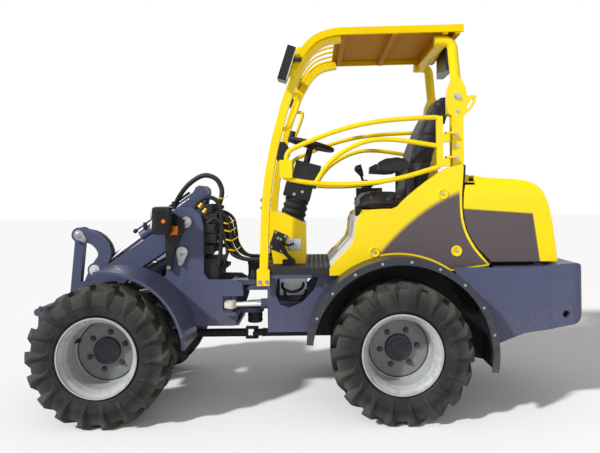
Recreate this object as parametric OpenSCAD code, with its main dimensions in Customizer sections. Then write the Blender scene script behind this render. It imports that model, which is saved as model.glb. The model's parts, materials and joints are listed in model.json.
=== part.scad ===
// Compact articulated wheel loader with a canopy, quick hitch and tubular side doors.
// Front is towards -X, the left side towards -Y, +Z is up, and the ground is z = 0.

/* [Overall] */
// Front axle behind the foremost point of the quick hitch
front_overhang = 480; // [460:5:520]
// Distance between the two axles
wheelbase = 1600; // [1580:10:1680]
// Back of the counterweight behind the rear axle
rear_overhang = 1020; // [1000:5:1060]
// Width over the tyres
machine_w = 1200; // [1180:10:1300]
// Articulation axis behind the front axle
pivot_setback = 770; // [750:5:790]

/* [Wheels] */
// Tyre diameter over the lugs
tyre_d = 750; // [730:5:780]
// Tyre section width
tyre_w = 264; // [250:2:280]
// Height of the tread lugs
lug_h = 28; // [20:1:32]
// Width of one lug
lug_t = 46; // [40:1:52]
// Lugs on each half of the tread
lug_count = 18; // [14:1:20]
// Rim flange diameter
rim_d = 428; // [410:2:440]
// Rim width over the flanges
rim_w = 228; // [210:2:240]
// Thickness of the wheel disc
disc_t = 12; // [8:1:16]
// Diameter of the hub end that shows in the wheel
hub_d = 142; // [130:2:160]
// Diameter of the wheel spindle
spindle_d = 80; // [60:2:90]

/* [Cab] */
// Height of the floor above the ground
floor_z = 812; // [790:2:840]
// Height of the roof above the ground
roof_z = 2157; // [2100:5:2300]
// Width over the canopy posts
post_w = 720; // [700:5:730]
// Width of the roof
roof_w = 770; // [750:5:800]
// Length from the front post foot to the rear edge of the roof
cab_l = 1130; // [1100:5:1160]
// Front post foot ahead of the rear axle
cab_reach = 742; // [730:2:750]
// Thickness of the roof sheet
roof_t = 10; // [8:1:14]
// Height of the rim round the roof
fascia_h = 40; // [30:1:45]
// Slots in the curved front of the roof
slot_count = 6; // [4:1:7]
// Diameter of the door rails
rail_d = 27; // [22:1:30]
// Diameter of the steering wheel
steering_d = 300; // [280:5:330]
// Width of the seat
seat_w = 480; // [440:5:500]

/* [Body] */
// Width over the hood and side panels
hood_w = 800; // [790:5:820]
// Width of the counterweight
weight_w = 900; // [880:5:920]
// Width over the rear fenders
fender_w = 1170; // [1140:5:1190]
// Wall of the hood and the panels
skin = 14; // [10:1:18]
// Sheet thickness of the fenders
fender_t = 8; // [6:1:10]

/* [Loader arm] */
// Width over the boom side plates
boom_w = 160; // [150:2:176]
// Thickness of the boom side plates
boom_t = 20; // [16:1:22]
// Depth of the boom above its centre line
boom_up = 66; // [60:1:70]
// Depth of the boom below its centre line
boom_down = 70; // [64:1:76]
// Diameter of the main loader pins
pin_d = 50; // [44:1:56]
// Diameter of the tilt linkage and cylinder pins
small_pin_d = 36; // [30:1:40]
// Width of the quick hitch
hitch_w = 520; // [500:5:560]
// Diameter of the quick hitch tube
hitch_tube_d = 44; // [40:1:48]
// Diameter of the lock bores in the quick hitch
lock_d = 30; // [24:1:34]
// Bore of the rear tow pin
tow_d = 25; // [20:1:30]

/* [Hidden] */
$fn = 48;
// Radial play of a running pin
play = 0.05;
// Gap between neighbouring pieces of one body
fit = 0.3;
// Room left round moving pieces
room = 6;
// Overrun of a cut past its faces
over = 4;
// Smallest gap between stacked arms
arm_gap = 5;

// Axle places
machine_l = front_overhang + wheelbase + rear_overhang;
fx = -machine_l / 2 + front_overhang;
rx = fx + wheelbase;
az = tyre_d / 2;
wheel_y = (machine_w - tyre_w) / 2;
px = fx + pivot_setback;
tail_x = machine_l / 2;

// Wheel sections
flange_r = rim_d / 2;
rim_wall = 8;
rim_drop = 16;
well_drop = 30;
seat_r = flange_r - rim_drop;
well_r = flange_r - well_drop;
rim_h = rim_w / 2;
flange_t = 10;
tread_r = tyre_d / 2 - lug_h;
disc_in = 58;
hub_out = 20;
hub_in = 48;
hub_foot_d = 170;
spindle_end = 14;
lug_angle = 38;
lug_step = 9;
lug_bevel = 26;
lug_l = 176;

// Axle housings and drive shaft
axle_d = 120;
bulge_d = 230;
bulge_w = 210;
axle_flange_d = 150;
axle_gap = 20;
axle_half = wheel_y - disc_in - disc_t - hub_in - axle_gap;
axle_flange_w = 12;
pinion_d = 110;
pinion_l = 150;
shaft_d = 50;
shaft_drop = 8;
shaft_z = az - shaft_drop;
fork_r = 30;
ear_t = 12;
ear_r = 20;
fork_base = 46;
cross_d = 20;

// Cab levels
deck_t = 20;
floor_t = 40;
deck_z = floor_z - floor_t;
cab_x = rx - cab_reach;
cab_h = roof_z - floor_z;
cab_o = [cab_x, floor_z];
cab_size = [cab_l, cab_h];
post_t = 50;
post_y = post_w / 2;
front_post_d = 46;
rear_post_l = 64;
rear_post_w = 60;
rear_post_in = 66;
rear_post_x = cab_x + cab_l - rear_post_in;
rear_mid = rear_post_x + rear_post_l / 2;
fold_share = 0.705;
fold_z = floor_z + fold_share * cab_h;
fold_size = [106, 210];
seat_rise = 318;
seat_z = floor_z + seat_rise;
under_roof = roof_z - fascia_h - roof_t;

// Tower and boom places, each from the front axle or from the pin it hangs on
boom_slope = 33;
boom_pin_at = [385, 690];
lift_pin_at = [-24, -178];
lift_eye_at = [-425, -405];
tilt_base_at = [67, 180];
lever_pin_at = [-645, -425];
lever_top_at = [-47, 348];
rod_pin_at = [50, 130];
boom_pin = [fx, az] + boom_pin_at;
lift_pin = boom_pin + lift_pin_at;
lift_eye = boom_pin + lift_eye_at;
tilt_base = boom_pin + tilt_base_at;
lever_pin = boom_pin + lever_pin_at;
lever_top = lever_pin + lever_top_at;
rod_pin = lever_pin + rod_pin_at;
link_reach = [-41, -398];
hitch_pin = lever_pin + link_reach;
link_foot = lever_top + link_reach;
tower_w = 340;
cheek_t = 20;
cheek_in = tower_w / 2 - cheek_t;
cheek_at = [-80, 72];
cheek_o = [fx, az] + cheek_at;
cheek_size = [796, 708];
eye_w = 44;
eye_r = 36;
barrel_d = 70;
rod_d = 36;
lever_w = 84;
lever_t = 16;
lever_band = 78;
boss_r = 46;
head_t = 10;
head_d = 84;

// Articulation and steering
yoke_r = 55;
yoke_t = 28;
yoke_l = 140;
upper_yoke_rise = 297;
lower_yoke_rise = 125;
upper_yoke_z = az + upper_yoke_rise;
lower_yoke_z = az + lower_yoke_rise;
bearing_d = 76;
bearing_h = 112;
rail_gap = 39;
rail_t = 20;
rail_in = wheel_y - tyre_w / 2 - rail_gap;
rail_y = rail_in + rail_t;
rail_rise = 66;
axle_seat_rise = 6;
frame_bottom = az + rail_rise;
axle_seat_z = frame_bottom + axle_seat_rise;
frame_setback = 105;
frame_front = px + frame_setback;
steer_base_at = [390, -150];
steer_eye_at = [-121, -205];
steer_rise = 205;
steer_base = [px, 0] + steer_base_at;
steer_eye = [px, 0] + steer_eye_at;
steer_z = az + steer_rise;
steer_seat_z = steer_z - barrel_d / 2 - room;
steer_barrel_d = 60;
steer_rod_d = 32;

// Rear body
fender_r = 506;
fender_lip = 36;
fender_foot_r = 300;
front_fender_gap = 68;
front_fender_r = tyre_d / 2 + front_fender_gap;
weight_l = 196;
weight_x = tail_x - weight_l;
engine_rise = 165;
engine_floor = az + engine_rise;
hood_pin_at = [407, 484];
hood_pin_d = 16;
hood_eye_in = 88;
hood_at = [371, 24];
hood_h = 501;
hood_tail_in = 132;
side_at = [-373, -43];
hood_pin = [rx, floor_z] + hood_pin_at;
hood_eye_y = post_w / 2 - hood_eye_in;
hood_o = [rx, floor_z] + hood_at;
hood_size = [tail_x - hood_tail_in - hood_o[0], hood_h];
side_foot = [rx, floor_z] + side_at;
side_size = [892, 611];
panel_t = 34;

// Doors
door_out = 25;
door_y = post_y + door_out;
door_at = [145, 460];
door_o = cab_o + door_at;
door_tail_in = 139;
door_h = 370;
door_size = [cab_l - door_at[0] - door_tail_in, door_h];
door_pin_in = 94;
door_pin_x = cab_x + cab_l - door_pin_in;
door_pin_d = 14;
knuckle_d = 27;
knuckle_h = 44;
knuckle_rises = [555, 690];
knuckles = [for (h = knuckle_rises) floor_z + h];

// Lamps and lashing bores in the counterweight
tail_lamp_t = 12;
tail_lamp_ins = [190, 110];
tail_lamp_rises = [285, 400];
tail_lamp_y = [for (d = tail_lamp_ins) weight_w / 2 - d];
tail_lamp_z = [for (h = tail_lamp_rises) az + h];
tie_d = 40;
tie_in = 60;

// Steering column
column_at = [150, 262];
column_rise = [124, 466];
column_foot = cab_o + column_at;
column_top = column_foot + column_rise;
column_l = norm(column_top - column_foot);
column_r = 82;
wheel_share = 0.95;

// Colours of the finishes
navy = "#3f4a72";
yellow = "#f7dd00";
black = "#1c1c1e";
silver = "#c4c9cc";
rubber = "#202020";
pale = "#d8d8d6";
chrome = "#dfe3e6";
red = "#8a1414";
iron = "#55585a";

// Outline helpers: shares of a box become points, open paths become bands of even width
function place(shares, o, s) = [for (p = shares) [o[0] + p[0] * s[0], o[1] + p[1] * s[1]]];
function unit(v) = v / norm(v);
function turned(v) = [-v[1], v[0]];
function back(list) = [for (i = [len(list) - 1 : -1 : 0]) list[i]];
function heading(a, b) = atan2(b[1] - a[1], b[0] - a[0]);
function along(a, b, d) = a + unit(b - a) * d;
function edge(path, w) = [
    for (i = [0 : len(path) - 1])
        let (a = path[max(i - 1, 0)], b = path[min(i + 1, len(path) - 1)])
        path[i] + turned(unit(b - a)) * w
];
function band(path, w) = concat(edge(path, w / 2), back(edge(path, -w / 2)));
// Corner cutting rounds an open path, keeping its ends
near_share = 0.75;
function blend(a, b, share) = a * share + b * (1 - share);
function rounded(path, passes) = passes == 0 ? path : rounded(concat(
    [path[0]],
    [
        for (i = [0 : len(path) - 2])
            each [blend(path[i], path[i + 1], near_share), blend(path[i + 1], path[i], near_share)]
    ],
    [path[len(path) - 1]]
), passes - 1);
function arc(c, r, a0, a1, n) = [
    for (i = [0 : n])
        let (a = a0 + (a1 - a0) * i / n)
        c + r * [cos(a), sin(a)]
];

// Solid helpers: a plate stands in the XZ plane, a pin lies along Y
module plate(points, y, t) {
    translate([0, y + t, 0]) rotate([90, 0, 0]) linear_extrude(t) polygon(points);
}
module slab(points, w) {
    plate(points, -w / 2, w);
}
module both_sides() {
    children();
    mirror([0, 1, 0]) children();
}
module block(x, y, z) {
    translate([x[0], y[0], z[0]]) cube([x[1] - x[0], y[1] - y[0], z[1] - z[0]]);
}
module wide_block(x, w, z) {
    block(x, [-w / 2, w / 2], z);
}
module pin(p, d, y0, y1) {
    translate([p[0], y1, p[1]]) rotate([90, 0, 0]) cylinder(d = d, h = y1 - y0);
}
module wide_pin(p, d, w) {
    pin(p, d, -w / 2, w / 2);
}
module post(p, d, z0, z1) {
    translate([p[0], p[1], z0]) cylinder(d = d, h = z1 - z0);
}
module rod(a, b, d) {
    translate([a[0], 0, a[1]]) rotate([0, -heading(a, b), 0])
        rotate([0, 90, 0]) cylinder(d = d, h = norm(b - a));
}
// A bent tube in the XZ plane: rings of points set square to the path, closed at both ends
tube_sides = 12;
module tube(path, d) {
    last = len(path) - 1;
    rings = [
        for (i = [0 : last])
            let (n = turned(unit(path[min(i + 1, last)] - path[max(i - 1, 0)])))
            for (k = [0 : tube_sides - 1])
                let (a = 360 * k / tube_sides, q = path[i] + n * d / 2 * cos(a))
                [q[0], d / 2 * sin(a), q[1]]
    ];
    walls = [
        for (i = [0 : last - 1])
            for (k = [0 : tube_sides - 1])
                let (m = (k + 1) % tube_sides, o = i * tube_sides, t = o + tube_sides)
                each [[o + k, o + m, t + m], [o + k, t + m, t + k]]
    ];
    caps = [
        [for (k = [tube_sides - 1 : -1 : 0]) k],
        [for (k = [0 : tube_sides - 1]) last * tube_sides + k]
    ];
    polyhedron(rings, concat(walls, caps));
}
// A sheet bowed round an axle; its section is given by radius and distance from the middle
module bowed(x, a0, a1, section) {
    translate([x, 0, az]) rotate([90, 0, 0]) rotate([0, 0, a0])
        rotate_extrude(angle = a1 - a0) polygon(section);
}

// Wheels, drawn about their own axis with the outer face towards +Z
module mirrored_section(side) {
    polygon(concat(side, [for (p = back(side)) [p[0], -p[1]]]));
}
module tyre() {
    bead_h = rim_h - flange_t - rim_drop;
    half = tyre_w / 2;
    swell_r = (flange_r + tread_r) / 2;
    crown_h = half - lug_bevel;
    beads = [
        [seat_r + fit, bead_h], [flange_r + fit, bead_h + rim_drop / 2], [flange_r + fit + rim_drop, rim_h]
    ];
    carcass = concat(beads, [[swell_r, half - lug_step], [tread_r, crown_h]]);
    lugged = concat(beads, [[swell_r, half], [tyre_d / 2 - lug_bevel, half], [tyre_d / 2, crown_h]]);
    pitch = 360 / lug_count;
    color(rubber) union() {
        rotate_extrude($fn = 72) mirrored_section(carcass);
        intersection() {
            rotate_extrude($fn = 72) mirrored_section(lugged);
            for (i = [0 : lug_count - 1], side = [-1, 1])
                rotate([0, 0, (i + side / 4) * pitch])
                    translate([swell_r + lug_h, 0, side * (half - lug_l / 2 + lug_step)])
                    rotate([side * lug_angle, 0, 0])
                    cube([2 * (tread_r - swell_r), lug_t, lug_l], center = true);
        }
    }
}
module rim() {
    side = [
        [flange_r, rim_h], [flange_r, rim_h - flange_t], [seat_r, rim_h - flange_t - rim_drop],
        [well_r, rim_h / 2]
    ];
    outer = concat(side, [for (p = back(side)) [p[0], -p[1]]]);
    inner = [for (p = back(outer)) [p[0] - rim_wall, p[1]]];
    disc_foot = -disc_in - disc_t;
    color(silver) difference() {
        union() {
            rotate_extrude($fn = 96) polygon(concat(outer, inner));
            translate([0, 0, disc_foot]) cylinder(r = well_r - rim_wall / 2, h = disc_t);
            translate([0, 0, disc_foot - hub_in]) cylinder(d = hub_foot_d, h = hub_in + disc_t / 2);
            translate([0, 0, disc_foot]) cylinder(d = hub_d, h = disc_t + hub_out);
        }
        translate([0, 0, disc_foot - hub_in - over])
            cylinder(d = spindle_d + 2 * play, h = hub_in + disc_t + spindle_end + over);
    }
}
module at_wheel(x, side) {
    translate([x, side * wheel_y, az]) rotate([side < 0 ? 90 : -90, 0, 0]) children();
}

// Axle housing with its spindles; the pinion points along way
module axle(x, way, pad_y, pad_w, pad_top) {
    reach = wheel_y - disc_in + spindle_end - room;
    both_sides() {
        pin([x, az], axle_d, 0, axle_half);
        pin([x, az], axle_flange_d, axle_half - axle_flange_w, axle_half);
        pin([x, az], spindle_d, 0, reach);
        block([x - axle_d / 2, x + axle_d / 2], [pad_y - pad_w, pad_y], [az, pad_top]);
    }
    wide_pin([x, az], bulge_d, bulge_w);
    rod([x, shaft_z], [x + way * pinion_l, shaft_z], pinion_d);
}
module front_axle() {
    color(black) axle(fx, 1, tower_w / 2, cheek_t, cheek_o[1]);
}
module rear_axle() {
    color(black) axle(rx, -1, rail_y, rail_t, axle_seat_z);
}
// Shaft halves meet in a cross joint on the articulation axis
module shaft_half(x, way) {
    rod([px + way * fork_base, shaft_z], [x - way * pinion_l, shaft_z], shaft_d);
}
module front_shaft() {
    base_x = px - fork_base - ear_t;
    color(black) difference() {
        union() {
            shaft_half(fx, -1);
            for (z = [shaft_z - fork_r, shaft_z + fork_r]) {
                post([px, 0], 2 * ear_r, z - ear_t / 2, z + ear_t / 2);
                block([base_x, px], [-ear_r, ear_r], [z - ear_t / 2, z + ear_t / 2]);
            }
            block([base_x, base_x + ear_t], [-ear_r, ear_r], [shaft_z - fork_r, shaft_z + fork_r]);
        }
        post([px, 0], cross_d + 2 * play, shaft_z - fork_r - ear_t, shaft_z + fork_r + ear_t);
    }
}
module rear_shaft() {
    base_x = px + fork_base;
    ear_h = ear_r - ear_t / 2;
    color(black) union() {
        shaft_half(rx, 1);
        post([px, 0], cross_d, shaft_z - fork_r - ear_t / 2, shaft_z + fork_r + ear_t / 2);
        wide_pin([px, shaft_z], cross_d, 2 * fork_r);
        for (y = [-fork_r, fork_r]) {
            pin([px, shaft_z], 2 * ear_h, y - ear_t / 2, y + ear_t / 2);
            block([px, base_x + ear_t], [y - ear_t / 2, y + ear_t / 2], [shaft_z - ear_h, shaft_z + ear_h]);
        }
        block([base_x, base_x + ear_t], [-fork_r, fork_r], [shaft_z - ear_r, shaft_z + ear_r]);
    }
}

// Front frame: two cheek plates, base plate, yokes and pins
cheek_shares = [
    [0, 0], [0, 0.14], [0.31, 0.27], [0.43, 0.44], [0.446, 0.78], [0.477, 0.936], [0.54, 1], [0.628, 1],
    [0.693, 0.93], [0.711, 0.84], [0.711, 0.44], [0.745, 0.39], [0.94, 0.383], [1, 0.343], [1, 0.2], [0.94, 0]
];
module yoke(z) {
    wide_block([px - yoke_l, px], 2 * yoke_r, [z, z + yoke_t]);
    post([px, 0], 2 * yoke_r, z, z + yoke_t);
}
module front_frame() {
    cheek = place(cheek_shares, cheek_o, cheek_size);
    base_z = cheek_o[1];
    base_back = 80;
    tie_l = 30;
    tie_rise = 53;
    tie_z = base_z + tie_rise;
    wall_x = px - yoke_l;
    inner_w = tower_w - cheek_t;
    half = tower_w / 2;
    window_l = 172;
    window_h = eye_r + room;
    color(navy) difference() {
        union() {
            both_sides() plate(cheek, cheek_in, cheek_t);
            wide_block([fx + bulge_d / 2 + cheek_t, px - base_back], inner_w, [base_z, base_z + cheek_t]);
            wide_block([cheek_o[0], cheek_o[0] + tie_l], inner_w, [tie_z, tie_z + cheek_t]);
            wide_block([wall_x, wall_x + cheek_t], inner_w, [base_z, upper_yoke_z + yoke_t]);
            yoke(upper_yoke_z);
            yoke(lower_yoke_z);
            post([px, 0], bearing_d, upper_yoke_z + yoke_t, upper_yoke_z + yoke_t + bearing_h);
            wide_pin(boom_pin, pin_d, tower_w);
            wide_pin(lift_pin, small_pin_d, tower_w);
            both_sides() {
                pin(boom_pin, head_d, half, half + head_t);
                pin(lift_pin, head_d - head_t, half, half + head_t);
            }
            block([steer_eye[0] - eye_r, steer_eye[0] + eye_r], [steer_eye[1] - eye_r, -cheek_in],
                [steer_seat_z - cheek_t, steer_seat_z]);
            post(steer_eye, small_pin_d, steer_seat_z - cheek_t, steer_z - eye_w / 2 - fit);
        }
        block([px - window_l, px], [-half - over, over - cheek_in], [steer_z - window_h, steer_z + window_h]);
        post([px, 0], pin_d + 2 * play, lower_yoke_z - over, lower_yoke_z + yoke_t + over);
        post([px, 0], pin_d + 2 * play, upper_yoke_z - over, upper_yoke_z + yoke_t);
    }
}
module front_fenders() {
    r = front_fender_r;
    sheet_out = 30;
    inner = tower_w / 2 + fit;
    outer = wheel_y + sheet_out;
    profile = [
        [r - fender_t, inner], [r, inner], [r, outer], [r - 2 * fender_t, outer],
        [r - 2 * fender_t, outer - fender_t], [r - fender_t, outer - fender_t]
    ];
    turn = [2, 96];
    color(navy) both_sides() {
        bowed(fx, turn[0], turn[1], profile);
    }
}
bracket_shares = [
    [0, 0.85], [0, 0.42], [0.04, 0.06], [0.18, 0], [0.36, 0.05], [0.4, 0.4], [0.68, 0.62], [1, 0.86],
    [0.92, 0.98], [0.6, 0.93], [0.4, 1]
];
module headlamps() {
    lamp = [92, 74, 144];
    lamp_at = [-161, -57];
    lamp_out = 62;
    bracket_at = [-118, -290];
    bracket_size = [118, 300];
    bracket_t = 16;
    boss_d = 24;
    boss_ats = [[20, 24], [22, 240]];
    half = tower_w / 2;
    o = boom_pin + lamp_at;
    bracket_o = boom_pin + bracket_at;
    lamp_y = [half + lamp_out, half + lamp_out + lamp[1]];
    flat_y = half + head_t + arm_gap;
    color(black) both_sides() {
        block([o[0], o[0] + lamp[0]], lamp_y, [o[1], o[1] + lamp[2]]);
        pin(o + [lamp[0], lamp[2]] / 2, lamp[0] / 2, flat_y, lamp_y[0] + over);
        plate(rounded(place(bracket_shares, bracket_o, bracket_size), 1), flat_y, bracket_t);
        plate([o + [lamp[0] / 2, lamp[2] / 4], o + [lamp[0] / 2, lamp[2]], bracket_o + bracket_size,
            bracket_o + [bracket_size[0] / 2, 2 * bracket_size[1] / 3]], flat_y, bracket_t);
        for (b = boss_ats) pin(bracket_o + b, boss_d, half, flat_y + bracket_t);
    }
}

// Boom: side plates with a nested channel, a gooseneck nose and a heel for the tilt cylinder
boom_dir = [-cos(boom_slope), -sin(boom_slope)];
boom_nrm = [-sin(boom_slope), cos(boom_slope)];
function on_boom(s, t) = boom_pin + boom_dir * s + boom_nrm * t;
neck_s = 560;
neck_drop = 8;
neck_cut = 150;
heel_s = -92;
heel_r = 40;
nose_r = 60;
throat_o = [60, -210];
chin_o = [120, -60];
web_shares = [[0, 0], [0.36, 0.06], [0.55, 1], [0.25, 1]];
web_o = [66, -150];
web_size = [66, -118];
module boom() {
    inner = boom_w / 2 - boom_t;
    core_w = boom_w - boom_t;
    core_up = boom_up / 3;
    core_down = 2 * boom_down / 3;
    step = 30;
    side = concat(
        [on_boom(heel_s + step / 2, -boom_down), on_boom(heel_s, 0)],
        arc(tilt_base, heel_r, -10, 170, 5),
        [on_boom(heel_r, boom_up), on_boom(neck_s, boom_up - neck_drop)],
        arc(lever_pin, nose_r + head_t, 60, 165, 4),
        arc(hitch_pin, nose_r, 190, 350, 5),
        [lever_pin + throat_o, lever_pin + chin_o, on_boom(neck_s - neck_cut, -boom_down)]
    );
    core_cut = 80;
    channel = [
        on_boom(heel_s + step, -core_down), on_boom(heel_s + step, core_up),
        on_boom(neck_s - core_cut, core_up), on_boom(neck_s - core_cut - step, -core_down)
    ];
    web = place(web_shares, lever_pin + web_o, web_size);
    lug = concat(
        arc(lift_eye, eye_r, 180, 400, 6),
        [on_boom(neck_s - neck_cut + step, -boom_down / 2), on_boom(neck_s - step, -boom_down / 2)]
    );
    color(navy) difference() {
        union() {
            both_sides() plate(side, inner, boom_t);
            slab(channel, core_w);
            slab(web, core_w);
            both_sides() plate(lug, eye_w / 2 + room, boom_t);
            wide_pin(lever_pin, pin_d, boom_w);
            wide_pin(tilt_base, small_pin_d, boom_w);
        }
        wide_pin(boom_pin, pin_d + 2 * play, boom_w + 2 * over);
        wide_pin(hitch_pin, pin_d + 2 * play, boom_w + 2 * over);
    }
}
// The lever bows to the rear; its path runs from its pivot past the rod pin to the link
lever_bow = [[10, 10], [74, 96], [10, 196]];
module tilt_lever() {
    path = rounded(concat([lever_pin], [for (b = lever_bow) rod_pin + b], [lever_top]), 2);
    body = band(path, lever_band);
    web_share = 0.55;
    web_start = round(web_share * len(path));
    web = band([for (i = [web_start : len(path) - 2]) path[i]], lever_band - lever_t);
    cheek_y = lever_w / 2 - lever_t;
    color(navy) union() {
        difference() {
            union() {
                both_sides() plate(body, cheek_y, lever_t);
                slab(web, lever_w - lever_t);
                for (p = [lever_top, rod_pin]) both_sides() pin(p, 2 * boss_r, cheek_y, lever_w / 2);
                wide_pin(lever_pin, 2 * boss_r, lever_w);
            }
            wide_pin(lever_pin, pin_d + 2 * play, lever_w + 2 * over);
            wide_pin(lever_top, 2 * boss_r + 2 * room, eye_w + room);
        }
        wide_pin(lever_top, small_pin_d, lever_w);
    }
}
link_band = 58;
module tilt_link() {
    bar = band([lever_top, link_foot], link_band);
    color(navy) difference() {
        union() {
            slab(bar, eye_w);
            wide_pin(lever_top, 2 * eye_r, eye_w);
            wide_pin(link_foot, 2 * eye_r, eye_w);
        }
        wide_pin(lever_top, small_pin_d + 2 * play, eye_w + 2 * over);
        wide_pin(link_foot, small_pin_d + 2 * room, eye_w + 2 * over);
    }
}
nose_x = -machine_l / 2;
hitch_face_in = 50;
hitch_face_t = 16;
hitch_tube_rise = 182;
hitch_sink = 110;
lock_in = 26;
lock_rise = 52;
hitch_face_x = nose_x + hitch_face_in;
hitch_tube = [nose_x + hitch_tube_d / 2, az + hitch_tube_rise];
hitch_low_z = hitch_pin[1] - hitch_sink;
hitch_lock = [nose_x + lock_in, hitch_low_z + lock_rise];
module quick_hitch() {
    lug_y = boom_w / 2 + room;
    lug_w = 20;
    foot_l = 60;
    jaw_h = 40;
    jaw = [lock_in, jaw_h];
    jaw_r = hitch_tube_d / 2;
    rim_in = 40;
    lug_rise = 150;
    lug_sink = 70;
    side = concat(
        arc(hitch_tube, jaw_r + head_t, 0, 90, 4),
        arc(hitch_tube, jaw_r, 90, 270, 8),
        [hitch_lock + [-jaw[0], jaw[1]], hitch_lock - jaw, [hitch_face_x + foot_l, hitch_low_z]]
    );
    main_lug = concat(
        arc(hitch_pin, boss_r, -80, 80, 6),
        [[hitch_face_x, hitch_pin[1] + lug_rise], [hitch_face_x, hitch_low_z + lug_w]]
    );
    top_lug = concat(
        arc(link_foot, eye_r, -20, 170, 6),
        [[hitch_face_x, link_foot[1] - lug_sink], [hitch_face_x, hitch_pin[1] + lug_rise]]
    );
    color(navy) difference() {
        union() {
            wide_block([hitch_face_x, hitch_face_x + hitch_face_t], hitch_w - rim_in,
                [hitch_low_z, hitch_tube[1] - rim_in]);
            wide_block([hitch_face_x, hitch_face_x + foot_l], hitch_w - rim_in,
                [hitch_low_z, hitch_low_z + hitch_face_t]);
            wide_pin(hitch_tube, hitch_tube_d, hitch_w);
            both_sides() {
                plate(side, hitch_w / 2 - lug_w - head_t, lug_w);
                plate(main_lug, lug_y, lug_w);
                plate(top_lug, eye_w / 2 + room, hitch_face_t);
            }
            wide_pin(hitch_pin, pin_d, 2 * (lug_y + lug_w + head_t));
            wide_pin(link_foot, small_pin_d, eye_w + 2 * room + 2 * lug_w);
        }
        wide_pin(hitch_lock, lock_d, hitch_w + 2 * over);
    }
}
// A cylinder: barrel with a base eye, and a rod with its own eye; start is where the bore or rod begins
module barrel(a, b, d, bore, start, end) {
    difference() {
        union() {
            rod(along(a, b, eye_r / 2), along(a, b, end), d);
            wide_pin(a, 2 * eye_r, eye_w);
        }
        wide_pin(a, small_pin_d + 2 * play, eye_w + 2 * over);
        rod(along(a, b, start), along(a, b, end + over), bore + 2 * play);
    }
}
module piston_rod(a, b, d, start) {
    difference() {
        union() {
            rod(along(a, b, start), along(b, a, eye_r / 2), d);
            wide_pin(b, 2 * eye_r, eye_w - room);
        }
        wide_pin(b, small_pin_d, eye_w + 2 * over);
    }
}
// Where each bore begins, each rod begins and each barrel ends, from the base pin
bore_x = 0;
rod_x = 1;
end_x = 2;
tilt_stroke = [150, 156, 470];
lift_stroke = [70, 76, 370];
steer_stroke = [60, 196, 338];
module tilt_barrel() {
    color(navy) barrel(tilt_base, rod_pin, barrel_d, rod_d, tilt_stroke[bore_x], tilt_stroke[end_x]);
}
module tilt_rod() {
    color(chrome) piston_rod(tilt_base, rod_pin, rod_d, tilt_stroke[rod_x]);
}
module lift_barrel() {
    color(navy) barrel(lift_pin, lift_eye, barrel_d, rod_d, lift_stroke[bore_x], lift_stroke[end_x]);
}
module lift_rod() {
    color(chrome) piston_rod(lift_pin, lift_eye, rod_d, lift_stroke[rod_x]);
}
// The steering cylinder lies flat, so its eyes stand upright
module lying(z) {
    translate([0, 0, z]) rotate([-90, 0, 0]) children();
}
module steer_barrel() {
    color(navy) lying(steer_z)
        barrel(steer_base, steer_eye, steer_barrel_d, steer_rod_d, steer_stroke[bore_x], steer_stroke[end_x]);
}
module steer_rod() {
    color(chrome) lying(steer_z) piston_rod(steer_base, steer_eye, steer_rod_d, steer_stroke[rod_x]);
}

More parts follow.
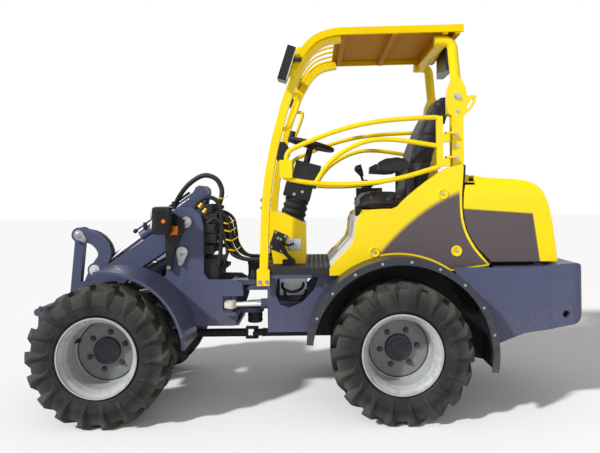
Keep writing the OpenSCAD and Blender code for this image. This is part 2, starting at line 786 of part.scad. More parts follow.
// Rear frame: rails, deck, engine bay and the articulation arms with their pins
module rear_frame() {
    notch_room = 40;
    tail_rise = 30;
    window_shares = [[0, 1], [0, 0.45], [0.1, 0.12], [0.32, 0], [0.62, 0.2], [0.86, 0.55], [1, 1]];
    window_in = 46;
    window_size = [250, 176];
    bay_wall_share = 0.53;
    bay_low_share = 0.503;
    bay_knee_share = 0.67;
    bay_rises = [13, 78, 98];
    bay_reach = 300;
    deck_lip = 45;
    deck_reach = 410;
    step_reach = 470;
    pad_reach = 350;
    notch = axle_d / 2 + notch_room;
    bay_x = rx + bay_wall_share * rear_overhang;
    deck_front = frame_front - deck_lip;
    deck_back = rx + deck_reach;
    step_x = rx - step_reach;
    post_pad_x = rx + pad_reach;
    bay_front = rx + bay_reach;
    bay_low = [rx + bay_low_share * rear_overhang, az + bay_rises[0]];
    bay_knee = [rx + bay_knee_share * rear_overhang, az + bay_rises[1]];
    bay_tail_z = az + bay_rises[2];
    pin_below = 20;
    window_y = [-285, -75];
    window_h = 54;
    rail = [
        [frame_front, frame_bottom], [rx - notch, frame_bottom], [rx - notch, axle_seat_z],
        [rx + notch, axle_seat_z], [rx + notch, frame_bottom], [bay_low[0], frame_bottom],
        [weight_x, frame_bottom + tail_rise], [weight_x, deck_z - deck_t], [frame_front, deck_z - deck_t]
    ];
    bay_side = [[bay_front, floor_z], [weight_x, floor_z], [weight_x, bay_tail_z], bay_knee, bay_low];
    bay_in = weight_w / 2 - skin;
    window_o = [frame_front + window_in, deck_z - deck_t - window_size[1]];
    arm = upper_yoke_z - arm_gap - yoke_t;
    low_arm = lower_yoke_z + yoke_t + arm_gap;
    color(navy) difference() {
        union() {
            both_sides() {
                difference() {
                    plate(rail, rail_in, rail_t);
                    plate(place(window_shares, window_o, window_size), rail_in - over, rail_t + 2 * over);
                }
                difference() {
                    plate(bay_side, bay_in, skin);
                    pin([rx, az], 2 * (fender_r + room), bay_in - over, weight_w / 2 + over);
                }
                block([bay_x, weight_x], [rail_in, bay_in], [floor_z - skin, floor_z]);
                block([bay_x, bay_x + skin], [rail_in, bay_in], [bay_knee[1], floor_z]);
            }
            wide_block([deck_front, deck_back], 2 * rail_y, [deck_z - deck_t, deck_z]);
            wide_block([deck_front, step_x], post_w + deck_t, [deck_z - deck_t, deck_z]);
            wide_block([post_pad_x, deck_back], post_w, [deck_z - deck_t, deck_z]);
            wide_block([frame_front, frame_front + rail_t], 2 * rail_y, [frame_bottom, deck_z - deck_t]);
            wide_block([weight_x - skin, weight_x], weight_w, [bay_tail_z, floor_z]);
            wide_block([deck_back, weight_x], 2 * rail_y, [engine_floor, engine_floor + rail_t]);
            for (z = [arm, low_arm]) {
                wide_block([px, frame_front + rail_t], 2 * yoke_r, [z, z + yoke_t]);
                post([px, 0], 2 * yoke_r, z, z + yoke_t);
            }
            post([px, 0], pin_d, arm, upper_yoke_z + yoke_t - room);
            post([px, 0], pin_d, lower_yoke_z - pin_below, low_arm + yoke_t);
            block([steer_base[0] - eye_r, steer_base[0] + eye_r], [-rail_y, steer_base[1] + eye_r],
                [steer_seat_z - rail_t, steer_seat_z]);
            post(steer_base, small_pin_d, steer_seat_z - rail_t, steer_z + eye_w / 2 + room);
            post(steer_base, 2 * eye_r, steer_seat_z - rail_t, steer_z - steer_barrel_d / 2 - room);
        }
        block([frame_front - over, frame_front + rail_t + over], window_y,
            [steer_z - window_h, steer_z + window_h]);
    }
}
module counterweight() {
    foot_rise = 98;
    lip_rise = 18;
    foot = az + foot_rise;
    lip = floor_z + lip_rise;
    lip_run = 60;
    lip_drop = 4;
    top_r = 50;
    low_r = 90;
    low_rise = 20;
    edge_r = 70;
    jaw = [90, 120];
    jaw_rises = [165, 245];
    jaw_z = [for (h = jaw_rises) az + h];
    pin_in = 45;
    pin_down = 40;
    tie_at = [-109, 178];
    tie = [tail_x, az] + tie_at;
    side = concat(
        [[weight_x + fit, foot], [weight_x + fit, floor_z - fit], [weight_x + lip_run, lip - lip_drop]],
        arc([tail_x - top_r, lip - top_r], top_r, 90, 0, 6),
        arc([tail_x - low_r, foot + low_rise + low_r], low_r, 0, -90, 6)
    );
    plan = concat(
        [[weight_x, -weight_w / 2], [weight_x, weight_w / 2]],
        arc([tail_x - edge_r, weight_w / 2 - edge_r], edge_r, 90, 0, 6),
        arc([tail_x - edge_r, edge_r - weight_w / 2], edge_r, 0, -90, 6)
    );
    color(navy) difference() {
        intersection() {
            slab(side, weight_w);
            translate([0, 0, foot]) linear_extrude(lip - foot) polygon(plan);
        }
        wide_block([tail_x - jaw[0], tail_x + over], jaw[1], jaw_z);
        post([tail_x - pin_in, 0], tow_d, jaw_z[0] - pin_down, lip + over);
        both_sides() {
            pin(tie, tie_d, weight_w / 2 - tie_in, weight_w / 2 + over);
            block([tail_x - tail_lamp_t - fit, tail_x + over], [tail_lamp_y[0] - fit, tail_lamp_y[1] + fit],
                [tail_lamp_z[0] - fit, tail_lamp_z[1] + fit]);
        }
    }
}
module engine_block() {
    reach = 420;
    tail_gap = 40;
    side_gap = 37;
    rise = 320;
    top = floor_z + rise;
    color(iron) wide_block([rx + reach, weight_x - tail_gap], 2 * (rail_in - side_gap),
        [engine_floor + rail_t + fit, top]);
}
module rear_fenders() {
    out = fender_w / 2;
    inner = rail_y + fit;
    profile = [
        [fender_foot_r, inner], [fender_r, inner], [fender_r, out], [fender_r - fender_lip, out],
        [fender_r - fender_lip, out - fender_t], [fender_r - fender_t, out - fender_t],
        [fender_r - fender_t, inner + fender_t], [fender_foot_r, inner + fender_t]
    ];
    turn = [-11, 173];
    color(navy) both_sides() bowed(rx, turn[0], turn[1], profile);
}

// Body panels
side_shares = [
    [0, 0], [0, 0.08], [0.115, 0.24], [0.152, 0.3], [0.17, 0.53], [0.238, 0.592], [0.33, 0.6], [0.415, 0.6],
    [0.463, 0.678], [0.585, 0.826], [0.72, 0.96], [0.8, 0.99], [0.84, 1], [0.836, 0.9], [0.823, 0.673],
    [0.835, 0.448], [0.89, 0.27], [0.965, 0.13], [1, 0.077], [0.95, 0.067], [0.6, 0]
];
module side_panels() {
    outline = rounded(place(side_shares, side_foot, side_size), 1);
    color(yellow) both_sides() difference() {
        plate(outline, hood_w / 2 - panel_t, panel_t);
        pin([rx, az], 2 * (fender_r + fit), 0, hood_w);
    }
}
hood_shares = [
    [0.295, 0], [0.11, 0.2], [0.015, 0.42], [0, 0.7], [0.045, 0.95], [0.057, 1], [0.1, 0.97], [0.27, 0.93],
    [0.57, 0.915], [0.71, 0.89], [0.83, 0.82], [0.9, 0.66], [0.945, 0.465], [0.99, 0.09], [1, 0]
];
hood_crown_r = 130;
hood_mouth = 70;
hood_brow = 60;
module hood_form(inset) {
    top_z = hood_o[1] + hood_size[1] - inset;
    w = hood_w / 2 - inset;
    r = hood_crown_r;
    side = rounded(place(hood_shares, hood_o - [0, inset], hood_size - [inset, 0]), 1);
    section = concat(
        [[w, hood_o[1] - skin - over], [-w, hood_o[1] - skin - over]],
        arc([-w + r, top_z - r], r, 180, 94, 8),
        arc([w - r, top_z - r], r, 86, 0, 8)
    );
    intersection() {
        slab(side, 2 * w);
        translate([hood_o[0] - hood_size[0], 0, 0]) rotate([90, 0, 90])
            linear_extrude(3 * hood_size[0]) polygon(section);
    }
}
module hood() {
    top_z = hood_o[1] + hood_size[1];
    eye_sink = 34;
    eye_y = [hood_eye_y - eye_w, hood_eye_y];
    notch_in = 80;
    notch_out = 15;
    notch_y = [post_y - notch_in, post_y + notch_out];
    color(yellow) union() {
        difference() {
            hood_form(0);
            hood_form(skin);
            wide_block([hood_o[0] - over, hood_o[0] + hood_mouth], hood_w - 2 * skin,
                [hood_o[1] - skin - over, top_z - hood_brow]);
            both_sides() block([hood_o[0] - over, hood_pin[0] + eye_r], notch_y, [floor_z, roof_z]);
        }
        both_sides() difference() {
            union() {
                pin(hood_pin, 2 * hood_pin_d, eye_y[0], eye_y[1]);
                block([hood_pin[0] - hood_pin_d / 2, hood_pin[0] + 2 * hood_pin_d], eye_y,
                    [hood_pin[1], top_z - eye_sink]);
            }
            pin(hood_pin, hood_pin_d + 2 * play, 0, hood_w);
        }
    }
}

// Cab: floor, seat, console and controls
module floor_plate() {
    front_in = 10;
    back_in = 200;
    foot_l = 40;
    front = cab_x + front_in;
    rear = rx - back_in;
    color(black) difference() {
        union() {
            wide_block([front, side_foot[0] - fit], post_w + deck_t, [deck_z + fit, floor_z]);
            wide_block([front, rear], post_w, [deck_z + fit, floor_z]);
        }
        both_sides() {
            pin([rx, az], 2 * (fender_r + fit), rail_y - fit, post_w);
            block([cab_x, cab_x + foot_l], [post_y - post_t - fit, post_w], [deck_z, floor_z + over]);
        }
    }
}
pedestal_reach = [-195, 290];
pedestal_x = [for (d = pedestal_reach) rx + d];
pedestal_lean = 20;
// Front edge of the side panels above the floor, which the pedestal and its pale panel follow
pedestal_edge = place([for (i = [2:4]) side_shares[i]], side_foot, side_size);
pedestal_in = 24;
function moved(path, d) = [for (p = path) p + [d, 0]];
function backward(path) = [for (i = [len(path) - 1:-1:0]) path[i]];
module seat_pedestal() {
    inset = 20;
    side = concat(
        [
            [pedestal_x[0], deck_z + fit], [pedestal_x[0], floor_z + fit],
            [side_foot[0] + pedestal_in, floor_z + fit]
        ],
        moved(pedestal_edge, pedestal_in),
        [[pedestal_x[0] + pedestal_lean, seat_z], [pedestal_x[1], seat_z], [pedestal_x[1], deck_z + fit]]
    );
    color(yellow) difference() {
        slab(side, post_w - inset);
        both_sides() pin([rx, az], 2 * (fender_r + fit), rail_y - fit, post_w);
    }
}
module pedestal_panel() {
    inset = 60;
    lip = 6;
    back = pedestal_in - fit;
    z = floor_z + fit;
    side = concat(
        [[side_foot[0] + lip, z]], moved(pedestal_edge, lip), backward(moved(pedestal_edge, back)),
        [[side_foot[0] + back, z]]
    );
    color(pale) difference() {
        slab(side, post_w - inset);
        both_sides() pin([rx, az], 2 * (fender_r + fit), rail_y - fit, post_w);
    }
}
seat_reach = 204;
seat_o = [rx - seat_reach, seat_z + fit];
seat_size = [284, 100];
cushion_shares = [
    [0.014, 0.17], [0, 0.82], [0.26, 1], [0.93, 0.92], [1, 0.62], [1, 0], [0.085, 0], [0.014, 0.17]
];
module seat_cushion() {
    color(black) slab(rounded(place(cushion_shares, seat_o, seat_size), 1), seat_w);
}
back_reach = 90;
back_o = [rx + back_reach, seat_z + fit];
back_size = [230, 622];
back_shares = [
    [0, 0.163], [0.213, 0.554], [0.543, 0.823], [0.8, 0.984], [1, 1], [0.913, 0.775], [0.565, 0.453],
    [0.478, 0], [0, 0], [0, 0.163]
];
module seat_back() {
    trim = 10;
    color(black) slab(rounded(place(back_shares, back_o, back_size), 1), seat_w - trim);
}
arm_at = [-86, 535];
arm_o = [rx, floor_z] + arm_at;
arm_size = [194, 85];
arm_shares = [[0, 0.12], [0.03, 0.82], [0.75, 1], [1, 0.3], [0.75, 0], [0, 0.12]];
module armrests() {
    pad_y = 240;
    pad_w = 56;
    stem_reach = [90, 124];
    stem_rises = [430, 560];
    stem_out = 22;
    stem_x = [for (d = stem_reach) rx + d];
    stem_y = [seat_w / 2 - arm_gap + fit, seat_w / 2 + stem_out];
    stem_z = [for (h = stem_rises) floor_z + h];
    color(black) both_sides() {
        plate(rounded(place(arm_shares, arm_o, arm_size), 1), pad_y, pad_w);
        block(stem_x, stem_y, stem_z);
    }
}
module joystick() {
    base_reach = 110;
    base_out = 285;
    base = [rx - base_reach, base_out, seat_z + fit];
    box = [170, 80, 132];
    box_front = 60;
    lean = -16;
    stick_d = 18;
    stick_l = 110;
    boot = [60, 24, 50];
    grip_d = 40;
    grip_l = 60;
    top = base[2] + box[2];
    color(black) {
        translate([base[0] - box_front, base[1] - box[1] / 2, base[2]]) cube(box);
        translate([base[0], base[1], top - over]) {
            rotate([0, lean, 0]) cylinder(d = stick_d, h = stick_l);
            cylinder(d1 = boot[0], d2 = boot[1], h = boot[2]);
            rotate([0, lean, 0]) translate([0, 0, stick_l - over]) cylinder(d = grip_d, h = grip_l);
        }
    }
}
console_in = 10;
console_o = [cab_x + console_in, floor_z + fit];
console_size = [224, 310];
console_shares = [[0.15, 0], [0, 0.74], [0.054, 1], [0.446, 0.967], [1, 0.76], [1, 0]];
module front_console() {
    wide = 360;
    color(yellow) difference() {
        slab(place(console_shares, console_o, console_size), wide);
        on_column(-fit) cylinder(r = column_r + fit, h = cab_h);
    }
}
module pedals() {
    tread = [14, 60, 150];
    foot_reach = [100, 172];
    hinge_reach = 150;
    pedal_ys = [-255, 195];
    foot_x = [for (d = foot_reach) cab_x + d];
    hinge_x = cab_x + hinge_reach;
    foot_h = 30;
    lean = -28;
    lift = 8;
    rim_in = 5;
    color(black) for (y = pedal_ys) {
        translate([hinge_x, y, floor_z + fit]) rotate([0, lean, 0])
            block([0, tread[0]], [0, tread[1]], [lift, tread[2]]);
        block(foot_x, [y + rim_in, y + tread[1] - rim_in], [floor_z + fit, floor_z + foot_h]);
    }
}
// Column: ribbed boot below, a squared housing above, drawn along its own axis
boot_shares = [
    [1, 0], [0.86, 0.04], [0.97, 0.08], [0.84, 0.12], [0.95, 0.16], [0.82, 0.2], [0.93, 0.24], [0.8, 0.28],
    [0.9, 0.32], [0.78, 0.36], [0.84, 0.42], [0.5, 0.46]
];
module on_column(h) {
    translate([column_foot[0], 0, column_foot[1]]) rotate([0, 90 - heading(column_foot, column_top), 0])
        translate([0, 0, h]) children();
}
module steering_column() {
    stem_r = 20;
    house_x = [-62, 96];
    house_w = 156;
    house_shares = [0.44, 0.74];
    tip = wheel_share * column_l;
    boot = place(boot_shares, [0, 0], [column_r, column_l]);
    profile = concat([[0, 0]], boot, [[stem_r, boot[len(boot) - 1][1]], [stem_r, tip], [0, tip]]);
    color(black) on_column(0) union() {
        rotate_extrude() polygon(profile);
        wide_block(house_x, house_w, house_shares * column_l);
    }
}
pod_at = [-95, 360];
pod_o = column_foot + pod_at;
pod_size = [86, 112];
pod_shares = [[0.09, 0], [0, 0.55], [0.2, 1], [0.86, 0.93], [1, 0.18], [0.09, 0]];
module instrument_pod() {
    wide = 200;
    stem_w = 60;
    stem = [[40, 40], [74, 30], [74, -60], [40, -60]];
    color(black) union() {
        slab(rounded(place(pod_shares, pod_o, pod_size), 1), wide);
        difference() {
            slab([for (p = stem) pod_o + p], stem_w);
            on_column(0) translate([-column_r, -column_r, 0]) cube([2 * column_r, 2 * column_r, column_l]);
        }
    }
}
module steering_wheel() {
    rim_r = 15;
    hub_r = 40;
    hub_h = 30;
    spoke_w = 28;
    spoke_z = [8, 22];
    knob_d = 36;
    knob_h = 50;
    knob_y = 40;
    ring_r = steering_d / 2 - rim_r;
    color(black) on_column(wheel_share * column_l + fit) union() {
        cylinder(r = hub_r, h = hub_h);
        translate([0, 0, rim_r]) rotate_extrude() translate([ring_r, 0]) circle(r = rim_r);
        for (a = [0, 120, 240]) rotate([0, 0, a])
            block([hub_r / 2, ring_r], [-spoke_w / 2, spoke_w / 2], spoke_z);
        translate([-ring_r + knob_d / 4, -knob_y, rim_r]) cylinder(d = knob_d, h = knob_h);
    }
}

// Canopy: curved front posts, folding rear posts and the slotted roof
post_shares = [
    [0, (2 * room - floor_t) / cab_h], [0.013, 0.283], [0.052, 0.487], [0.093, 0.611], [0.112, 0.672],
    [0.161, 0.785], [0.2, 0.848], [0.24, 0.9], [0.285, 0.934], [0.33, 0.95], [0.395, 0.958]
];
module front_posts() {
    path = rounded(place(post_shares, cab_o, cab_size), 2);
    foot_half = 36;
    foot_h = 30;
    lap_h = 58;
    lap_t = 12;
    foot_y = (post_w + deck_t) / 2 + fit;
    foot = [cab_x - foot_half, cab_x + foot_half];
    grip_d = 22;
    grip_y = post_y - post_t / 2;
    grip_shares = [
        [0.085, 0.575], [0.12, 0.58], [0.145, 0.6], [0.19, 0.7], [0.19, 0.72], [0.165, 0.725], [0.12, 0.715]
    ];
    color(yellow) both_sides() {
        plate(band(path, front_post_d), post_y - post_t, post_t);
        block(foot, [post_y - post_t, foot_y + lap_t], [deck_z + fit, deck_z + foot_h]);
        block(foot, [foot_y, foot_y + lap_t], [deck_z - lap_h, deck_z + foot_h]);
        translate([0, grip_y, 0]) tube(rounded(place(grip_shares, cab_o, cab_size), 2), grip_d);
    }
}
fold_shares = [
    [0, 0.2], [0, 0], [0.5, 0], [1, 0], [1, 0.2], [1, 0.66], [0.8, 0.9], [0.7, 1], [0.3, 1], [0.2, 0.9],
    [0, 0.66], [0, 0.2]
];
module rear_posts() {
    lower = [rear_post_x, rear_post_x + rear_post_l];
    beam_d = 60;
    beam_back = 70;
    bow_o = [-12, -130];
    bow_run = 120;
    bow_lean = 20;
    overlap = 20;
    beam_z = under_roof - beam_d / 2;
    fold_o = [rear_mid - fold_size[0] / 2, fold_z - fold_size[1] / 2];
    bow = [
        [rear_mid, fold_z + fold_size[1] / 2 - overlap], [rear_mid, under_roof] + bow_o,
        [rear_mid - bow_lean, beam_z], [rear_mid - bow_run, beam_z]
    ];
    quadrant_r = 106;
    slot_r = [76, 92];
    plate_t = 16;
    pivot = [rear_mid, fold_z];
    quadrant = concat(arc(pivot, quadrant_r, -84, 4, 8), [pivot]);
    slot = concat(arc(pivot, slot_r[1], -66, -8, 8), arc(pivot, slot_r[0], -8, -66, 8));
    lug_w = 20;
    hinge_z = [46, 58];
    hinge_in = 10;
    color(yellow) union() {
        both_sides() {
            block(lower, [post_y - rear_post_w, post_y], [deck_z + fit, fold_o[1] + overlap]);
            plate(rounded(place(fold_shares, fold_o, fold_size), 1), post_y - rear_post_w, rear_post_w);
            difference() {
                plate(quadrant, post_y - plate_t, plate_t);
                plate(slot, post_y - plate_t - over, plate_t + 2 * over);
            }
            translate([0, post_y - beam_d / 2, 0]) tube(rounded(bow, 2), beam_d);
            pin(hood_pin, hood_pin_d, hood_eye_y - eye_w - room, post_y - 2 * lug_w);
            block([lower[1] - lug_w, hood_pin[0] + hood_pin_d], [post_y - 3 * lug_w, post_y - 2 * lug_w],
                [hood_pin[1] - hood_pin_d, hood_pin[1] + hood_pin_d]);
            for (z = knuckles) {
                block([door_pin_x - hinge_in, rear_post_x + hinge_in], [post_y - lug_w, door_y + hinge_in],
                    [z + hinge_z[0], z + hinge_z[1]]);
                post([door_pin_x, door_y], door_pin_d, z, z + hinge_z[1]);
            }
        }
        wide_pin([rear_mid - beam_back, beam_z], beam_d, post_w - beam_d);
    }
}
roof_shares = [
    [0.162, 0.84], [0.171, 0.855], [0.21, 0.909], [0.249, 0.948], [0.293, 0.971], [0.357, 0.986],
    [0.41, 0.989], [0.6, 0.991], [1, 0.9965]
];
rib_shares = [0.4, 0.65, 0.898, 0.96];
slot_shares = [0.185, 0.37];
module roof() {
    path = rounded(place(roof_shares, cab_o, cab_size), 2);
    drop = (fascia_h - roof_t) / 2;
    fascia = band([for (p = path) p - [0, drop]], fascia_h);
    pitch = (roof_w - 4 * skin) / slot_count;
    slot_x = [for (s = slot_shares) cab_x + s * cab_l];
    rib_l = 30;
    rib_in = 4;
    color(yellow) union() {
        difference() {
            slab(band(path, roof_t), roof_w);
            for (i = [0 : slot_count - 1]) {
                y = -roof_w / 2 + 2 * skin + i * pitch;
                block(slot_x, [y + skin / 2, y + pitch - skin / 2], [floor_z, roof_z + over]);
            }
        }
        both_sides() plate(fascia, roof_w / 2 - skin, skin);
        for (s = rib_shares) {
            x = cab_x + s * cab_l;
            wide_block([x, x + rib_l], roof_w - skin, [under_roof, roof_z - roof_t - rib_in]);
        }
    }
}
module mirrors() {
    mirror_at = [97, 1033];
    stand_out = 10;
    stem_in = 12;
    o = cab_o + mirror_at;
    glass = [46, 96, 190];
    stand_y = [roof_w / 2 + stand_out, roof_w / 2 + stand_out + glass[1]];
    lean = 18;
    stem_x = [50, 130];
    stem_z = [110, 130];
    color(black) both_sides() {
        translate([o[0], 0, o[1]]) rotate([0, lean, 0]) block([0, glass[0]], stand_y, [0, glass[2]]);
        block([o[0] + stem_x[0], o[0] + stem_x[1]], [roof_w / 2 + fit, roof_w / 2 + stand_out + stem_in],
            [o[1] + stem_z[0], o[1] + stem_z[1]]);
    }
}
module rear_work_lamp() {
    lamp_in = 20;
    x = cab_x + cab_l - lamp_in;
    lamp = [44, 260, 150];
    neck = [20, 100, 30];
    color(black) union() {
        wide_block([x - lamp[0] / 2, x + lamp[0] / 2], lamp[1], [under_roof - lamp[2], under_roof - neck[0]]);
        wide_block([x - neck[0], x], neck[1], [under_roof - neck[2], under_roof]);
    }
}
module tail_lamps() {
    color(red) both_sides() block([tail_x - tail_lamp_t, tail_x], tail_lamp_y, tail_lamp_z);
}
module valve_block() {
    reach = [60, 220];
    x = [for (d = reach) frame_front + d];
    wide = 300;
    deep = 130;
    color(silver) wide_block(x, wide, [deck_z - deck_t - deep, deck_z - deck_t - fit]);
}

// Door guards: bent rails on a rear upright with hinge knuckles
door_top_shares = [[-0.01, 0.3], [-0.01, 0.5], [0.08, 0.6], [0.32, 0.82], [0.6, 0.96], [0.97, 1], [1, 0.98]];
door_low_shares = [[-0.01, 0.3], [-0.06, 0.12], [0.16, 0.02], [0.43, 0], [0.7, 0.06], [1, 0.26]];
door_mid_shares = [[0.18, 0.03], [0.27, 0.36], [0.45, 0.62], [0.64, 0.7], [1, 0.56]];
module door() {
    tip_x = door_o[0] + door_size[0];
    upright_t = [-20, 14];
    upright_rises = [95, 374];
    latch_l = [-46, 24];
    latch_rises = [40, 140];
    latch_w = 48;
    upright_x = [for (d = upright_t) tip_x + d];
    upright_z = [for (h = upright_rises) door_o[1] + h];
    latch_x = [for (d = latch_l) door_o[0] + d];
    latch_z = [for (h = latch_rises) door_o[1] + h];
    y = door_y;
    color(yellow) difference() {
        union() {
            translate([0, y, 0])
                for (t = [door_top_shares, door_low_shares, door_mid_shares])
                    tube(rounded(place(t, door_o, door_size), 2), rail_d);
            block(upright_x, [y - rail_d / 2, y + rail_d / 2], upright_z);
            block(latch_x, [y - latch_w / 2, y + latch_w / 2], latch_z);
            for (z = knuckles) {
                post([door_pin_x, y], knuckle_d, z, z + knuckle_h);
                block([tip_x, door_pin_x], [y - knuckle_d / 2, y + knuckle_d / 2], [z, z + knuckle_h]);
            }
        }
        post([door_pin_x, y], door_pin_d + 2 * play, floor_z, roof_z);
    }
}
module door_right() {
    door();
}
module door_left() {
    mirror([0, 1, 0]) door();
}

rear_frame();
counterweight();
engine_block();
rear_axle();
rear_shaft();
rear_fenders();
side_panels();
floor_plate();
seat_pedestal();
pedestal_panel();
seat_cushion();
seat_back();
armrests();
joystick();
front_console();
pedals();
steering_column();
instrument_pod();
front_posts();
rear_posts();
roof();
mirrors();
rear_work_lamp();
tail_lamps();
valve_block();
steering_wheel();
hood();
door_left();
door_right();
front_frame();
front_axle();
front_shaft();
front_fenders();
headlamps();
boom();
quick_hitch();
tilt_lever();
tilt_link();
tilt_barrel();
tilt_rod();
lift_barrel();
lift_rod();
steer_barrel();
steer_rod();
at_wheel(fx, -1) tyre();  // tyre_front_left
at_wheel(fx, 1) tyre();  // tyre_front_right
at_wheel(rx, -1) tyre();  // tyre_rear_left
at_wheel(rx, 1) tyre();  // tyre_rear_right
at_wheel(fx, -1) rim();  // rim_front_left
at_wheel(fx, 1) rim();  // rim_front_right
at_wheel(rx, -1) rim();  // rim_rear_left
at_wheel(rx, 1) rim();  // rim_rear_right
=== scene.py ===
# Looks of a compact articulated wheel loader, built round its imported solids.
import json
import math

import bmesh
import bpy
from mathutils import Matrix, Vector
from mathutils.geometry import convex_hull_2d


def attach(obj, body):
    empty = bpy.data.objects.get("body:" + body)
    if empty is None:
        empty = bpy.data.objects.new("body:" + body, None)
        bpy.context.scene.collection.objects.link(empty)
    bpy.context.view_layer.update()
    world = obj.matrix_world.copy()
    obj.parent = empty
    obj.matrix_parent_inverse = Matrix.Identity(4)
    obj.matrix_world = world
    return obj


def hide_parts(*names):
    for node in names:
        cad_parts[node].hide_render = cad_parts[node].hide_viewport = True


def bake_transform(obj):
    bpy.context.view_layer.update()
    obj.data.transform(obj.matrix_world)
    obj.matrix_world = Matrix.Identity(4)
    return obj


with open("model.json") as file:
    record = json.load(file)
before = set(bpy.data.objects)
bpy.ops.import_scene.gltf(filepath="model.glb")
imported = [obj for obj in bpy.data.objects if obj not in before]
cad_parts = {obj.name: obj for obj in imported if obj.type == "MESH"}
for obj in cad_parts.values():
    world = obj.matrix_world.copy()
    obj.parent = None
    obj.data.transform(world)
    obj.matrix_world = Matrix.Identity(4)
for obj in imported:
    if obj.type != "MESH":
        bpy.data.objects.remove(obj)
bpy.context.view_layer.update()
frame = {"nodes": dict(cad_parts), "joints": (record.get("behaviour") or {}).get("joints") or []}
nodes = frame["nodes"]
scene = bpy.context.scene


def pivot(name):
    """Where a joint of the frame turns, as x and z in metres."""
    x, _, z = next(joint["pos_m"] for joint in frame["joints"] if joint["name"] == name)
    return x, z


# Places on the machine, in metres; pins are given as x and z
FRONT_AXLE, AXLE_Z = pivot("wheel_front_left_spin")
REAR_AXLE = pivot("wheel_rear_left_spin")[0]
ARTICULATION_X = pivot("articulation")[0]
BOOM_PIN, LIFT_PIN, TILT_BASE = pivot("boom_lift"), pivot("lift_barrel_swing"), pivot("tilt_barrel_swing")
LEVER_PIN, LEVER_TOP, HITCH_PIN = pivot("lever_swing"), pivot("link_swing"), pivot("hitch_tilt")
ROD_PIN = (-1.280, 0.770)
REAR_POST_X = 0.884
FLANK_Y = 0.392
HANDS = (("left", -1), ("right", 1))


def camera_at_photo():
    """The camera of the photograph, square to the left side."""
    lens = bpy.data.cameras.new("photo_lens")
    lens.sensor_width = 36.0
    lens.lens = 33.66
    lens.shift_x = -0.025
    lens.shift_y = -0.049
    lens.clip_end = 60.0
    stand = bpy.data.objects.new("photo_camera", lens)
    stand.location = (0.081, -3.5, 1.205)
    stand.rotation_euler = (math.radians(90), math.radians(0.65), 0)
    scene.collection.objects.link(stand)
    scene.camera = stand


camera_at_photo()


class Flow:
    """A shader value: sums and products of flows add their own Math nodes."""

    def __init__(self, finish, socket):
        self.finish = finish
        self.socket = socket

    def maths(self, operation, a, b):
        return self.finish.node("ShaderNodeMath", {"operation": operation}, {0: a, 1: b})

    def __add__(self, other):
        return self.maths("ADD", self, other)

    __radd__ = __add__

    def __sub__(self, other):
        return self.maths("SUBTRACT", self, other)

    def __rsub__(self, other):
        return self.maths("SUBTRACT", other, self)

    def __mul__(self, other):
        return self.maths("MULTIPLY", self, other)

    __rmul__ = __mul__

    def __pow__(self, other):
        return self.maths("POWER", self, other)

    def least(self, other):
        return self.maths("MINIMUM", self, other)

    def most(self, other):
        return self.maths("MAXIMUM", self, other)

    def size(self):
        return self.finish.node("ShaderNodeMath", {"operation": "ABSOLUTE"}, {0: self})

    def above(self, edge, soft):
        """Rises from 0 to 1 where the value passes edge, over the width soft to each side."""
        return self.finish.node(
            "ShaderNodeMapRange",
            {"interpolation_type": "SMOOTHSTEP"},
            {"Value": self, "From Min": edge - soft, "From Max": edge + soft},
        )


class Finish:
    """A procedural material on object coordinates."""

    def __init__(self, name, color, rough, metal=0.0, coat=0.0):
        self.mat = bpy.data.materials.new(name)
        self.mat.use_nodes = True
        self.tree = self.mat.node_tree
        self.shader = self.tree.nodes["Principled BSDF"]
        self.mat.diffuse_color = (*color, 1.0)
        self.set("Base Color", (*color, 1.0))
        self.set("Roughness", rough)
        self.set("Metallic", metal)
        self.set("Coat Weight", coat)
        self.set("Specular IOR Level", 0.25)
        self.spot = self.node("ShaderNodeTexCoord", out="Object")
        self.axes = None

    def node(self, kind, settings=None, sockets=None, out=0):
        """Any node: its settings first, then the values or links of its sockets."""
        made = self.tree.nodes.new(kind)
        for key, value in (settings or {}).items():
            setattr(made, key, value)
        for key, value in (sockets or {}).items():
            self.feed(made.inputs[key], value)
        return Flow(self, made.outputs[out])

    def feed(self, socket, value):
        if isinstance(value, Flow):
            self.tree.links.new(value.socket, socket)
        else:
            socket.default_value = value

    def set(self, name, value):
        self.feed(self.shader.inputs[name], value)

    def axis(self, index):
        """Object coordinate: 0 along, 1 across, 2 up."""
        if self.axes is None:
            self.axes = self.node("ShaderNodeSeparateXYZ", sockets={0: self.spot}).socket.node
        return Flow(self, self.axes.outputs[index])

    def noise(self, scale, detail=3.0, rough=0.55):
        return self.node(
            "ShaderNodeTexNoise",
            sockets={"Vector": self.spot, "Scale": scale, "Detail": detail, "Roughness": rough},
        )

    def mix(self, a, b, mask):
        return self.node("ShaderNodeMix", {"data_type": "RGBA"}, {0: mask, 6: a, 7: b}, out=2)

    def relief(self, height, strength, distance, soft_edge=0.0):
        """Bump from a height, over edges that catch light as if rounded."""
        sockets = {"Height": height, "Strength": strength, "Distance": distance}
        if soft_edge:
            sockets["Normal"] = self.node("ShaderNodeBevel", {"samples": 4}, {"Radius": soft_edge})
        self.set("Normal", self.node("ShaderNodeBump", sockets=sockets))


def rgb(r, g, b):
    """Screen colour of 0 to 255 as linear values."""
    return tuple((v / 255 / 12.92) if v < 11 else ((v / 255 + 0.055) / 1.055) ** 2.4 for v in (r, g, b))


def solid(color):
    """A colour with full opacity."""
    return (*color, 1.0)


